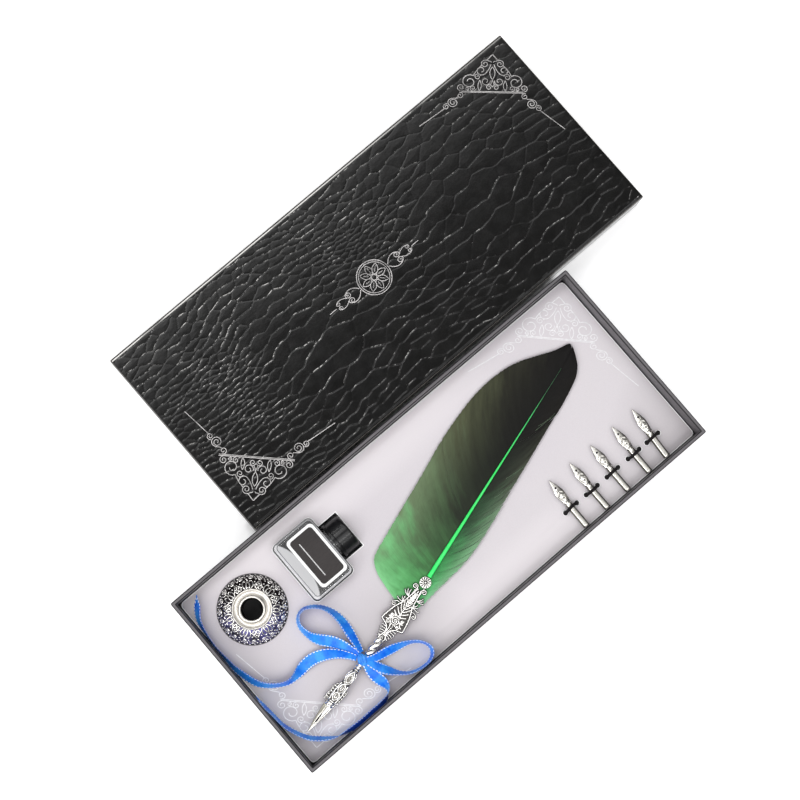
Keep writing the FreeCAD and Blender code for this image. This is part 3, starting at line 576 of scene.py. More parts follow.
def elastic_material():
    m = Mat("black_elastic", spec=0.18)
    a = m.attr("lay")
    s = m.split(a)
    braid = m.math("MULTIPLY", m.math("SINE", m.math("ADD", m.math("MULTIPLY", s[0], 9.0), m.math("MULTIPLY", s[1], 6.0))), m.math("SINE", m.math("SUBTRACT", m.math("MULTIPLY", s[0], 9.0), m.math("MULTIPLY", s[1], 6.0))))
    m.set(color=m.ramp(m.level(braid, -1.0, 1.0), [(0.2, (0.005, 0.0045, 0.005)), (0.8, (0.015, 0.012, 0.013))]), rough=0.8)
    m.set(normal=m.bump(braid, 0.5, 0.0001))
    return m.m


elastic = elastic_material()


def glass_material():
    """Clear glass with painted shade along its steep edges, for how they bend the view; the foot is painted pale and
    less clear, as if lit through the glass, and a painted highlight runs along the rounded shoulder near the top.
    """
    m = Mat("clear_glass", ior=1.5, spec=0.5)
    at = m.at()
    n = m.noise(at, 90.0, 2.0)
    up = m.split(m.facing())[2]
    xyz = m.split(at)
    # painted shade: steep faces in the upper part are dark
    steep = m.math("MULTIPLY", m.level(up, 0.95, 0.78), m.level(xyz[2], 0.0315, 0.0348))
    off = m.math("MULTIPLY", m.math("ABSOLUTE", m.math("ADD", xyz[1], -0.0266)), 1 / 0.016)
    inner = m.math("MULTIPLY", m.math("POWER", off, 3.0), -0.0032)
    # painted light: at the foot end the steep faces are less dark and the glass is less clear, so it reads pale
    heel = m.level(m.math("SUBTRACT", m.math("ADD", xyz[0], 0.0699), inner), 0.0, -0.0006)
    # painted highlight: a pale line on the rounded shoulder near the top, fainter towards the far side
    ledge = m.math("MULTIPLY", m.math("MULTIPLY", m.level(xyz[2], 0.0357, 0.0359), m.level(xyz[2], 0.03636, 0.03629)), m.level(up, 0.55, 0.7))
    tone = m.mix(steep, (0.93, 0.93, 0.95), m.mix(heel, (0.075, 0.077, 0.082), (0.2, 0.2, 0.21)))
    ledge = m.math("MULTIPLY", ledge, m.level(xyz[1], 0.042, 0.034, 0.35, 0.9))
    m.set(color=m.mix(ledge, tone, (0.74, 0.735, 0.76)))
    clear = m.math("MULTIPLY", m.level(heel, 0.0, 1.0, 0.95, 0.45), m.level(steep, 0.0, 1.0, 1.0, 0.3))
    m.set(trans=m.math("MULTIPLY", clear, m.level(ledge, 0.0, 1.0, 1.0, 0.35)))
    m.set(rough=m.level(n, 0.3, 0.7, 0.01, 0.03))
    return m.m


glass = glass_material()


def ribbon_material(name, low, high, line):
    """Blue satin: threads along the strip and tiny cross ribs."""
    m = Mat(name, spec=0.3)
    s = m.split(m.attr("lay"))
    thread = m.math("SINE", m.math("MULTIPLY", s[1], 42.0))
    rib = m.math("SINE", m.math("MULTIPLY", s[0], 30.0))
    cloud = m.noise(m.at(), 260.0, 3.0)
    # painted sheen: the blue lightens and darkens in stretches along the strip
    gleam = m.noise(m.join(m.math("MULTIPLY", s[0], 0.16), m.math("MULTIPLY", s[1], 0.07), 1.7), 1.0, 2.0)
    tone = m.ramp(m.math("ADD", m.math("MULTIPLY", cloud, 0.35), m.math("MULTIPLY", gleam, 0.65)), [(0.36, low), (0.64, high)])
    m.set(color=m.mix(m.level(thread, -1.0, 1.0, 0.0, 0.16), tone, line))
    m.set(rough=m.level(cloud, 0.3, 0.7, 0.26, 0.38))
    m.set(normal=m.bump(m.math("ADD", m.math("MULTIPLY", thread, 0.5), m.math("MULTIPLY", rib, 0.5)), 0.16, 0.00006))
    return m.m


ribbon_blue = ribbon_material("blue_ribbon", srgb(8, 104, 228), srgb(58, 164, 252), srgb(4, 82, 214))
# painted highlight: a lighter blue for the knot
ribbon_knot_lit = ribbon_material("blue_ribbon_knot_lit", srgb(10, 108, 230), srgb(96, 190, 252), srgb(6, 92, 220))
# darker blue for the strips' back face: partly the plain back, partly painted shade
ribbon_back = ribbon_material("blue_ribbon_back", srgb(16, 66, 192), srgb(28, 92, 222), srgb(10, 50, 170))


def thread_material():
    m = Mat("silver_thread", metal=0.2, spec=0.6)
    n = m.noise(m.at(), 2600.0, 3.0)
    m.set(color=m.ramp(n, [(0.3, (0.8, 0.84, 0.9)), (0.7, (0.95, 0.97, 0.99))]), rough=m.level(n, 0.3, 0.7, 0.25, 0.45))
    return m.m


thread = thread_material()


def quill_material():
    m = Mat("quill_green", spec=0.5, coat=0.3, coat_rough=0.25)
    n = m.noise(m.at((1, 1, 1)), 180.0, 3.0)
    x = m.split(m.attr("lay"))[0]
    along = m.ramp(x, [(0.0, srgb(30, 236, 104)), (0.55, srgb(24, 214, 88)), (0.74, srgb(30, 180, 84)), (0.88, srgb(34, 84, 50)), (1.0, srgb(34, 36, 30))])
    m.set(color=m.mix(m.level(n, 0.35, 0.65, 0.0, 0.16), along, srgb(120, 250, 160)), rough=m.level(n, 0.3, 0.7, 0.34, 0.46))
    return m.m


quill_green = quill_material()


def feather_material(name, near, far):
    """Barbs: colour from the shaft's side to the edge, with streaks along them.
    The piece's barb attribute holds root, reach and a barb number."""
    m = Mat(name, spec=0.14, sheen=0.08, sheen_rough=0.4)
    s = m.split(m.attr("barb"))
    wob = m.noise(m.join(m.math("MULTIPLY", s[0], 26.0), m.math("MULTIPLY", s[1], 1.6)), 1.0, 3.0, 0.6)
    root = m.math("ADD", s[0], m.level(wob, 0.3, 0.7, -0.06, 0.06))
    inner = m.ramp(root, near)
    outer = m.ramp(root, far)
    side = m.level(s[1], 0.12, 0.92)
    tone = m.mix(m.math("POWER", side, 1.4), inner, outer)
    fine = m.noise(m.join(m.math("MULTIPLY", s[0], 520.0), m.math("MULTIPLY", s[1], 4.0)), 1.0, 3.0, 0.65)
    mid = m.noise(m.join(m.math("MULTIPLY", s[0], 95.0), m.math("MULTIPLY", s[1], 2.0), 3.3), 1.0, 3.0, 0.6)
    tone = m.mix(m.level(fine, 0.3, 0.7, 0.0, 0.34), tone, m.mix(1.0, tone, (0.55, 0.56, 0.55), "MULTIPLY"))
    tone = m.mix(m.level(mid, 0.4, 0.75, 0.0, 0.13), tone, m.mix(1.0, tone, (1.5, 1.5, 1.42), "MULTIPLY"))
    spots = m.noise(m.join(m.math("MULTIPLY", s[0], 60.0), m.math("MULTIPLY", s[1], 12.0), 7.1), 1.0, 4.0, 0.65)
    tone = m.mix(m.level(spots, 0.52, 0.72, 0.0, 0.24), tone, m.mix(1.0, tone, (0.62, 0.58, 0.55), "MULTIPLY"))
    m.set(color=tone, rough=m.level(mid, 0.3, 0.7, 0.5, 0.66))
    m.set(normal=m.bump(fine, 0.3, 0.00012))
    return m.m


vane_left_mat = feather_material(
    "green_feather_left",
    [(0.0, srgb(104, 184, 116)), (0.08, srgb(80, 150, 88)), (0.18, srgb(62, 94, 60)), (0.36, srgb(36, 42, 32)), (0.6, srgb(20, 20, 17)), (1.0, srgb(13, 11, 11))],
    [(0.0, srgb(130, 202, 140)), (0.08, srgb(116, 182, 122)), (0.2, srgb(106, 126, 94)), (0.45, srgb(78, 82, 60)), (0.66, srgb(40, 40, 31)), (0.85, srgb(20, 18, 16)), (1.0, srgb(13, 11, 11))],
)
vane_right_mat = feather_material(
    "green_feather_right",
    [(0.0, srgb(84, 184, 110)), (0.14, srgb(64, 142, 82)), (0.3, srgb(46, 78, 52)), (0.46, srgb(34, 40, 32)), (0.66, srgb(18, 17, 15)), (1.0, srgb(13, 11, 11))],
    [(0.0, srgb(134, 196, 148)), (0.14, srgb(130, 172, 134)), (0.28, srgb(104, 126, 102)), (0.44, srgb(68, 72, 60)), (0.6, srgb(28, 26, 23)), (1.0, srgb(13, 11, 11))],
)


def hair_material():
    m = Mat("loose_barbs", spec=0.3)
    n = m.noise(m.at(), 900.0, 2.0)
    m.set(color=m.ramp(n, [(0.3, srgb(84, 116, 86)), (0.7, srgb(140, 160, 135))]), rough=m.level(n, 0.3, 0.7, 0.5, 0.65))
    return m.m


hair = hair_material()


# ---------------------------------------------------------------- camera
lens = bpy.data.cameras.new("camera")
lens.lens, lens.sensor_width = 85.5, 36.0
lens.clip_start, lens.clip_end = 0.01, 20.0
camera = bpy.data.objects.new("camera", lens)
scene.collection.objects.link(camera)
camera.matrix_world = Matrix(
    (
        (0.7594699, 0.6414487, -0.1083928, -0.0840569),
        (-0.6492615, 0.7578297, -0.064448, -0.0036578),
        (0.0408032, 0.1193216, 0.9920169, 1.0215898),
        (0, 0, 0, 1),
    )
)
scene.camera = camera

# ---------------------------------------------------------------- pen frame
PEN_TIP = np.array([-123.3, -39.0, 31.5])
PEN_A = rad(10.97)
PEN_X = np.array([math.cos(PEN_A), math.sin(PEN_A), 0.0])
PEN_Y = np.array([-math.sin(PEN_A), math.cos(PEN_A), 0.0])
UP = np.array([0.0, 0.0, 1.0])


def on_pen(p):
    """Points (along, across, above) from the pen nib's tip, in the tray's frame."""
    p = np.asarray(p, float)
    return PEN_TIP + p[..., 0:1] * PEN_X + p[..., 1:2] * PEN_Y + p[..., 2:3] * UP


def pen_lathe(rings):
    """Turned rings about local z, laid along the pen."""
    return on_pen(np.stack([rings[..., 2], rings[..., 0], rings[..., 1]], -1))


# ---------------------------------------------------------------- ribbon cords
def spline_points(points):
    """The smooth line of a route: a NURBS curve with the route's points."""
    cu = bpy.data.curves.new("route", "CURVE")
    cu.dimensions = "3D"
    cu.resolution_u = 16
    sp = cu.splines.new("NURBS")
    sp.points.add(len(points) - 1)
    for q, p in zip(sp.points, points):
        q.co = (p[0], p[1], p[2], 1.0)
    sp.order_u = 3
    sp.use_endpoint_u = True
    ob = bpy.data.objects.new("route", cu)
    me = bpy.data.meshes.new_from_object(ob)
    out = np.array([v.co[:] for v in me.vertices])
    bpy.data.objects.remove(ob)
    bpy.data.curves.remove(cu)
    bpy.data.meshes.remove(me)
    return out


# route points in metres, the strip's twist in degrees (0 stands on its edge,
# 90 lies flat) and its width along the route
routes = {
    "ribbon_loop_left": [
        (-0.0765, -0.0262, 0.0322), (-0.0749, -0.0185, 0.0322), (-0.0736, -0.0094, 0.0318), (-0.0738, -0.0019, 0.0316), (-0.0758, 0.0034, 0.0316), (-0.0801, 0.0081, 0.0316), (-0.0846, 0.0108, 0.0316),
        (-0.0891, 0.0098, 0.0316), (-0.0923, 0.0053, 0.0316), (-0.0919, -0.0012, 0.0316), (-0.0892, -0.0066, 0.0318), (-0.0844, -0.0121, 0.0322), (-0.0806, -0.0188, 0.0324), (-0.0784, -0.0265, 0.0324),
    ],
    "ribbon_loop_right": [
        (-0.0772, -0.0306, 0.0340), (-0.0738, -0.0328, 0.0334), (-0.0678, -0.0342, 0.0322), (-0.0592, -0.0362, 0.0318), (-0.0524, -0.0394, 0.0316), (-0.0482, -0.0434, 0.0316), (-0.0470, -0.0478, 0.0316), (-0.0496, -0.0514, 0.0316),
        (-0.0546, -0.0530, 0.0316), (-0.0610, -0.0520, 0.0316), (-0.0666, -0.0488, 0.0318), (-0.0710, -0.0440, 0.0322), (-0.0742, -0.0386, 0.0324), (-0.0762, -0.0340, 0.0332), (-0.0774, -0.0304, 0.0338),
    ],
    "ribbon_tail_left": [
        (-0.0802, -0.0269, 0.0316), (-0.0838, -0.0209, 0.0312), (-0.0894, -0.0159, 0.0308), (-0.0958, -0.0128, 0.0306), (-0.1017, -0.0120, 0.0306), (-0.1073, -0.0133, 0.0308), (-0.1127, -0.0140, 0.0312),
        (-0.1180, -0.0126, 0.0316), (-0.1244, -0.0082, 0.0318), (-0.1292, -0.0005, 0.0318), (-0.1316, 0.0110, 0.0318), (-0.1319, 0.0240, 0.0318), (-0.1313, 0.0350, 0.0318), (-0.1286, 0.0440, 0.0318), (-0.1220, 0.0514, 0.0314),
    ],
    "ribbon_tail_right": [
        (-0.0776, -0.0304, 0.0330), (-0.0786, -0.0345, 0.0322), (-0.0792, -0.0394, 0.0316), (-0.0779, -0.0444, 0.0316), (-0.0775, -0.0484, 0.0316), (-0.0794, -0.0514, 0.0316), (-0.0834, -0.0529, 0.0316), (-0.0894, -0.0534, 0.0316),
        (-0.0970, -0.0535, 0.0316), (-0.1048, -0.0531, 0.0316), (-0.1117, -0.0516, 0.0316), (-0.1182, -0.0484, 0.0316), (-0.1236, -0.0437, 0.0316), (-0.1279, -0.0374, 0.0316),
        (-0.1306, -0.0300, 0.0316), (-0.1319, -0.0198, 0.0316), (-0.1322, -0.0082, 0.0314),
    ],
}
twists = {
    "ribbon_loop_left": [(0, 50), (0.12, 58), (0.25, 40), (0.35, 22), (0.44, 16), (0.52, 13), (0.59, 18), (0.67, 31), (0.76, 68), (0.87, 74), (1, 62)],
    "ribbon_loop_right": [(0, 64), (0.1, 62), (0.2, 44), (0.31, 17), (0.4, 10), (0.48, 16), (0.55, 10), (0.63, 10), (0.69, 12), (0.76, 20), (0.82, 38), (0.9, 72), (1, 80)],
    "ribbon_tail_left": [(0, 50), (0.1, 56), (0.2, 86), (0.26, 70), (0.32, 30), (0.38, 21), (0.44, 23), (0.5, 34), (0.56, 34), (0.62, 24), (0.7, 12), (0.8, 10), (0.88, 24), (0.94, 34), (1, 30)],
    "ribbon_tail_right": [(0, 78), (0.08, 80), (0.14, 60), (0.19, 8), (0.23, -24), (0.34, -34), (0.43, -30), (0.5, -14), (0.55, 10), (0.62, 22), (0.72, 18), (0.85, 12), (1, 14)],
}
WIDTH = 6.4
for name, points in routes.items():
    line = spline_points(points)
    step = np.concatenate([[0], np.cumsum(np.linalg.norm(np.diff(line, axis=0), axis=1))])
    length = step[-1]
    path = resample(line, int(length / 0.0006)) * 1000.0
    n = len(path)
    frac = np.linspace(0, 1, n)
    t = np.gradient(path, axis=0)
    t /= np.linalg.norm(t, axis=1)[:, None]
    side = np.cross(UP, t)
    side /= np.linalg.norm(side, axis=1)[:, None]
    lift = np.cross(t, side)
    keys = np.array(twists[name], float)
    fine = np.linspace(0, 1, 200)
    soft = np.interp(fine, keys[:, 0], keys[:, 1])
    kern = np.hanning(15)
    soft = np.convolve(np.pad(soft, 7, mode="edge"), kern / kern.sum(), "valid")
    ang = np.radians(np.interp(frac, fine, soft))
    sign = {"ribbon_loop_left": 1.0, "ribbon_loop_right": 1.0, "ribbon_tail_left": -1.0, "ribbon_tail_right": 1.0}[name]
    across = lift * np.cos(ang)[:, None] + side * (np.sin(ang) * sign)[:, None]
    face = np.cross(t, across)
    gone = frac * length * 1000.0
    if "tail" in name:  # gathered at the knot, cut on the slant at the free end
        wide = WIDTH * (0.62 + 0.38 * np.clip(gone / 14.0, 0, 1) ** 0.8) * np.clip((1 - frac) * length * 1000.0 / 5.5, 0.12, 1.0)
    else:  # gathered at the knot
        wide = WIDTH * (0.56 + 0.44 * np.clip(np.minimum(gone, length * 1000.0 - gone) / 15.0, 0, 1) ** 0.8)
    v = np.linspace(-0.5, 0.5, 13)
    bow = 0.25 * (1 - (2 * v) ** 2)
    ripple = 0.12 * np.sin(frac * length * 1000.0 * 0.42)[:, None] * (2 * np.abs(v))[None, :]
    grid = (
        path[:, None]
        + across[:, None] * (v[None, :, None] * wide[:, None, None])
        + face[:, None] * (bow[None, :, None] * np.sin(ang)[:, None, None] + ripple[..., None])
    )
    thick = 0.09
    lay = np.stack(
        [np.repeat((frac * length * 1000.0)[:, None], 13, 1), np.repeat((v * WIDTH)[None, :], n, 0), np.zeros((n, 13))], -1
    )
    sh = Shape()
    ring = np.concatenate([grid + face[:, None] * thick, (grid - face[:, None] * thick)[:, ::-1]], 1)
    sh.rings(ring, extra=np.concatenate([lay, lay[:, ::-1]], 1))
    # one face of each strip takes a darker blue: partly the ribbon's plainer back, partly painted shade where a strip
    # stands in the near wall's shadow
    for k in range((n - 1) * 26):
        if (k % 26 >= 13 and k % 26 < 25) == (sign > 0):
            sh.ids[k] = 1
    strip = make(name, sh, [ribbon_blue, ribbon_back], "pen", name, sharp=60, attr="lay")
    # stitches along both edges, on both faces
    st = Shape()
    pitch, dash = 1.7, 1.0
    total = length * 1000.0
    count = int((total - 1.0) / pitch)
    cube = [(0, 1, 3, 2), (4, 6, 7, 5), (0, 4, 5, 1), (2, 3, 7, 6), (0, 2, 6, 4), (1, 5, 7, 3)]
    for edge in (-1, 1):
        for k in range(count):
            d0 = 0.7 + k * pitch
            a, b = d0 / total, (d0 + dash) / total
            w = np.interp((a + b) / 2, frac, wide)
            if w < 2.2:
                continue
            off = edge * (w / 2 - 0.34)
            ends = []
            for q in (a, b):
                i = q * (n - 1)
                i0 = int(i)
                f = i - i0
                j = min(i0 + 1, n - 1)
                vv = off / w
                lift_here = 0.25 * (1 - (2 * vv) ** 2) * np.sin(ang[i0]) + 0.12 * np.sin(q * total * 0.42) * 2 * abs(vv)
                c = path[i0] * (1 - f) + path[j] * f + across[i0] * off + face[i0] * lift_here
                ends.append((c, across[i0], face[i0]))
            for flip in (1, -1):
                vs = []
                for c, x, z in ends:
                    for sx in (-0.25, 0.25):
                        for sz in (0.06, 0.18):
                            vs.append(c + x * sx * (1.0 if sz < 0.1 else 0.6) + z * sz * flip)
                st.add(vs, cube)
    stitches = make(name + "_stitching", st, thread, "pen", (), sharp=30)


def knot_shape():
    """The wrapped knot: a gathered band round the stem with a plump fold that
    sits over its left side."""
    sh = Shape()
    m, n = 44, 72
    u = np.linspace(0, 1, m)
    a = np.linspace(0, 2 * np.pi, n, endpoint=False)
    uu, aa = np.meshgrid(u, a, indexing="ij")
    s = 43.9 + 4.6 * uu + 0.3 * np.sin(aa * 2 + 0.6) * np.sin(np.pi * uu)
    belly = np.sin(np.pi * np.clip(uu, 0.001, 0.999)) ** 0.55
    pleat = 0.26 * np.sin(uu * 19.0 + 1.7 * np.sin(aa + 0.4))
    r = 1.5 + (0.85 + 0.25 * np.cos(aa * 3 + 0.5)) * belly + pleat * belly
    rings = on_pen(np.stack([s, 0.7 * belly + r * np.cos(aa), r * np.sin(aa)], -1))
    sh.rings(rings, extra=np.stack([uu * 4.8, uu * 3.0, 0 * uu], -1))
    # the fold: a soft pillow, pleated along its length
    th = np.linspace(0.06, np.pi - 0.06, 40)
    tt, aa = np.meshgrid(th, a, indexing="ij")
    long_, wide_, tall_ = 3.3, 2.2, 1.9
    ridge = 1 + 0.15 * np.sin(aa * 6.0 + 2.6 * np.cos(tt)) * np.sin(tt) + 0.06 * np.cos(3 * aa)
    lx = -long_ * np.cos(tt)
    ly = wide_ * np.sin(tt) ** 0.8 * np.cos(aa) * ridge
    lz = tall_ * np.sin(tt) ** 0.8 * np.sin(aa) * ridge
    q = rad(70.0)
    pts = np.stack([45.9 + lx * math.cos(q) - ly * math.sin(q), 1.0 + lx * math.sin(q) + ly * math.cos(q), 1.6 + lz], -1)
    sh.rings(on_pen(pts), extra=np.stack([lx, lx * 0.6, 0 * lx], -1))
    return sh


# the knot takes the lighter blue: painted highlight
knot = make("ribbon_knot_wrap", knot_shape(), ribbon_knot_lit, "pen", "ribbon_knot", sharp=60, attr="lay")


# ---------------------------------------------------------------- tray
def ring_around(hx, hy, r, inset, z, seg=6):
    """Points round a rounded rectangle, counter-clockwise."""
    rr = max(r - inset, 0.3)
    cx, cy = hx - inset - rr, hy - inset - rr
    out = []
    for sx, sy, a0 in ((1, 1, 0), (-1, 1, 90), (-1, -1, 180), (1, -1, 270)):
        for k in range(seg + 1):
            a = rad(a0 + 90 * k / seg)
            out.append((sx * cx + rr * math.cos(a), sy * cy + rr * math.sin(a), z))
    return out


def arc(cx, cz, r, a0, a1, n=6):
    return [(cx + r * math.cos(rad(a)), cz + r * math.sin(rad(a))) for a in np.linspace(a0, a1, n)]


HX, HY = 135.0, 56.3
profile = (
    [(0.0, 0.22)]
    + [(0.0, z) for z in (6.0, 14.0, 22.0, 30.0, 37.0)]
    + arc(0.55, 39.42, 0.55, 180, 90)
    + arc(1.65, 39.42, 0.55, 90, 0)
    + [(2.2, z) for z in (36.0, 31.0, 27.0, 18.0, 9.0, 2.02)]
    + [(2.2, 0.22)]
)
tray = Shape()
tray.rings([ring_around(HX, HY, 0.9, i, z) for i, z in profile], loop=True)
# painted shade: the turned edges of the rim take a near-black paper
shaded_edge_rows = set(range(6, 11)) | set(range(12, 17))
tray.ids = [1 if (k // len(ring_around(HX, HY, 0.9, 0, 0))) in shaded_edge_rows else 0 for k in range(len(tray.faces))]
make("tray_cover_paper", tray, [charcoal, charcoal_edge_shade], "base", "base_cover_paper", sharp=50)
bottom = Shape()
bottom.rings([ring_around(HX, HY, 0.9, i, z) for i, z in [(0.35, 0.0), (0.0, 0.06), (0.0, 0.2), (0.4, 0.205)]])
make("tray_bottom_sheet", bottom, charcoal, "base", "base_bottom_sheet", sharp=50)
for n in ("base_floor_board", "base_wall_front", "base_wall_back", "base_wall_left", "base_wall_right"):
    nodes[n].data.materials.clear()
    nodes[n].data.materials.append(board_grey)

# ---------------------------------------------------------------- lid
LID = np.array([59.6, 118.4])
LID_A = rad(0.38)
LX, LY = 137.7, 59.0


def on_lid(p):
    p = np.asarray(p, float)
    c, s = math.cos(LID_A), math.sin(LID_A)
    out = p.copy()
    out[..., 0] = LID[0] + p[..., 0] * c - p[..., 1] * s
    out[..., 1] = LID[1] + p[..., 0] * s + p[..., 1] * c
    return out


rng = np.random.default_rng(41)


def value_noise(x, y, scale, seed):
    """Smooth repeatable noise from 0 to 1."""
    g = np.random.default_rng(seed).random((64, 64))
    u, v = x / scale + 31.7, y / scale + 17.3
    i, j = np.floor(u).astype(int), np.floor(v).astype(int)
    f, h = u - i, v - j
    f, h = f * f * (3 - 2 * f), h * h * (3 - 2 * h)
    a, b = g[i % 64, j % 64], g[(i + 1) % 64, j % 64]
    c, d = g[i % 64, (j + 1) % 64], g[(i + 1) % 64, (j + 1) % 64]
    return (a * (1 - f) + b * f) * (1 - h) + (c * (1 - f) + d * f) * h


STRETCH = 2.0


def scale_size(x, y):
    """Local spacing of the skin's scales, small in a few patches."""

    def patch(cx, cy, rx, ry):
        return np.exp(-(((x - cx) / rx) ** 2 + ((y - cy) / ry) ** 2))

    size = 4.5 + 2.9 * patch(72, -6, 44, 36) + 3.4 * patch(-44, -10, 34, 26)
    for cx, cy, rx, ry, tight, share in (
        (-132, 0, 16, 70, 2.8, 0.8), (-98, 6, 26, 36, 2.0, 1.0), (2, 24, 34, 20, 2.0, 0.95), (-30, 48, 60, 11, 2.7, 0.75), (36, -36, 26, 14, 2.6, 0.6), (-70, -50, 44, 10, 2.4, 0.8),
    ):
        p = np.clip(1.25 * share * patch(cx, cy, rx, ry), 0, share)
        size = size * (1 - p) + tight * p
    return size


def skin_points():
    """Scale centres: thrown with a minimum spacing that follows scale_size."""
    cell = 2.0
    kept, table = [], {}
    tries = rng.random((60000, 2)) * np.array([326.0, 170.0]) - np.array([163.0, 85.0])
    sizes = scale_size(tries[:, 0], tries[:, 1])
    for (x, y), r in zip(tries, sizes):
        mx, my = x / STRETCH, y
        gx, gy = int(mx // cell), int(my // cell)
        reach = int(r // cell) + 1
        ok = True
        for i in range(gx - reach, gx + reach + 1):
            for j in range(gy - reach, gy + reach + 1):
                for qx, qy, qr in table.get((i, j), ()):
                    d = min(r, qr) * 0.5 + max(r, qr) * 0.5
                    if (qx - mx) ** 2 + (qy - my) ** 2 < d * d:
                        ok = False
                        break
                if not ok:
                    break
            if not ok:
                break
        if ok:
            table.setdefault((gx, gy), []).append((mx, my, r))
            kept.append((mx, my, r))
    return np.array(kept)


skin = skin_points()
tree = kdtree.KDTree(len(skin))
for i, (mx, my, r) in enumerate(skin):
    tree.insert((mx, my, 0.0), i)
tree.balance()


def press_share(x, y):
    """How firmly the plate pressed: less to the right and along the near side."""
    return (0.66 + 0.34 * np.clip((70.0 - x) / 140.0, 0, 1)) * (0.66 + 0.34 * np.clip((y + 76.0) / 45.0, 0, 1))


def skin_height(x, y, wide=1.0):
    """Relief of the embossed skin at flattened-out sheet coordinates."""
    x, y = np.asarray(x, float), np.asarray(y, float)
    wx = x + 2.2 * (value_noise(x, y, 17.0, 3) - 0.5) + 1.1 * (value_noise(x, y, 5.0, 5) - 0.5)
    wy = y + 3.4 * np.sin(x / 21.0 + y / 37.0) + 2.4 * (value_noise(x, y, 13.0, 7) - 0.5) + 0.9 * (value_noise(x, y, 4.0, 9) - 0.5)
    q = np.stack([wx.ravel() / STRETCH, wy.ravel()], -1)
    d = np.empty(len(q))
    near = np.empty(len(q))
    lengthwise = np.ones(len(q))
    find = tree.find_n
    px, py, pr = skin[:, 0], skin[:, 1], skin[:, 2]
    for k in range(len(q)):
        a, b = q[k]
        got = find((a, b, 0.0), 3)
        i = got[0][1]
        best = 9.0
        for _, j, _ in got[1:]:
            ex, ey = px[j] - px[i], py[j] - py[i]
            e = math.hypot(ex, ey)
            v = ((px[i] + px[j]) / 2 - a) * ex / e + ((py[i] + py[j]) / 2 - b) * ey / e
            if v < best:
                best = v
                lengthwise[k] = ey * ey / (e * e)
        d[k] = best
        near[k] = pr[i]
    d, near, lengthwise = d.reshape(x.shape), near.reshape(x.shape), lengthwise.reshape(x.shape)
    # straight-sided creases, pressed deeper in some places than in others
    width = (0.175 + 0.006 * np.clip(near, 1.5, 8.0)) * wide
    press = 0.1 + 1.15 * np.clip(value_noise(x, y, 6.5, 11) - 0.2, 0, 1) + 0.6 * value_noise(x, y, 1.5, 19)
    deep = 0.75 * width * press * (0.2 + 0.8 * lengthwise) * press_share(x, y)
    groove = np.clip(1 - np.clip(d, 0, None) / width, 0, 1)
    dome = 0.035 * np.clip(d / (near * 0.5), 0, 1) ** 0.7
    fine = 0.008 * (value_noise(x, y, 0.9, 13) - 0.5)
    return 0.06 + dome + fine - deep * groove


EDGE = 0.85
STEP_X, STEP_Y = 0.5, 0.19
gx = np.linspace(-(LX - EDGE), LX - EDGE, int(2 * LX / STEP_X) + 1)
gy = np.linspace(-(LY - EDGE), LY - EDGE, int(2 * LY / STEP_Y) + 1)
X, Y = np.meshgrid(gx, gy, indexing="ij")
H = skin_height(X, Y)
from_edge = np.minimum(np.minimum(X - gx[0], gx[-1] - X), np.minimum(Y - gy[0], gy[-1] - Y))
H = np.clip(H, -0.4, 0.2) * np.clip(from_edge / 1.2, 0, 1) ** 0.8
# a pressed line just inside the folded edge
H -= 0.07 * np.exp(-(((from_edge - 0.55) / 0.28) ** 2))
# painted glints: the creases' near sides are painted bright in dashes, most at the left end
slope = np.gradient(H, gy, axis=1) / press_share(X, Y)
zone = np.clip((60.0 - X) / 150.0, 0, 1) * np.clip((Y + 78.0) / 50.0, 0.3, 1)
glint_breakup = 0.62 * value_noise(X, Y, 0.85, 23) + 0.38 * value_noise(X, Y, 4.5, 29) + 0.24 * (value_noise(X, Y, 17.0, 31) - 0.5)
far_part = np.clip((Y - 5.0) / 50.0, 0, 1)
glint_paint = np.clip((slope - 0.1) / 0.24, 0, 1) * np.clip((glint_breakup - 0.635 + 0.125 * zone + 0.085 * far_part) / 0.09, 0, 1) * (0.68 + 0.32 * zone) * (from_edge > 1.0)
# painted highlight: a bright line just inside the far edge, broken by noise
far_edge_glint = np.clip(1.6 - np.abs(gy[-1] - Y - 0.42) / 0.24, 0, 1) * np.clip((value_noise(X, Y, 9.0, 37) - 0.08) / 0.3, 0, 1)
glint_paint = np.maximum(glint_paint, far_edge_glint * np.clip((150.0 - X) / 160.0, 0.35, 1))
lid = Shape()
m, n = X.shape
top = np.stack([X, Y, 22.0 + H], -1)
idx = np.arange(m * n).reshape(m, n)
faces = np.stack([idx[:-1, :-1], idx[1:, :-1], idx[1:, 1:], idx[:-1, 1:]], -1).reshape(-1, 4).tolist()
# the border of the top, then rings that roll over the edge and down the sides
rim, normal = [], []
corners = [(m - 1, 0, -90), (m - 1, n - 1, 0), (0, n - 1, 90), (0, 0, 180)]
runs = [
    [(i, 0) for i in range(m)],
    [(m - 1, j) for j in range(n)],
    [(i, n - 1) for i in range(m - 1, -1, -1)],
    [(0, j) for j in range(n - 1, -1, -1)],
]
dirs = [-90, 0, 90, 180]
for run, a in zip(runs, dirs):
    for k, (i, j) in enumerate(run):
        if k == 0:  # the corner turns from the last side to this one
            for turn in (-90, -67.5, -45, -22.5):
                rim.append(idx[i, j])
                normal.append(a + turn)
        rim.append(idx[i, j])
        normal.append(a)
        if k == len(run) - 1:
            rim.pop()
            normal.pop()
rim = np.array(rim)
na = np.radians(np.array(normal, float))
out = np.stack([np.cos(na), np.sin(na)], -1)
base_xy = top.reshape(-1, 3)[rim, :2]
rings = []
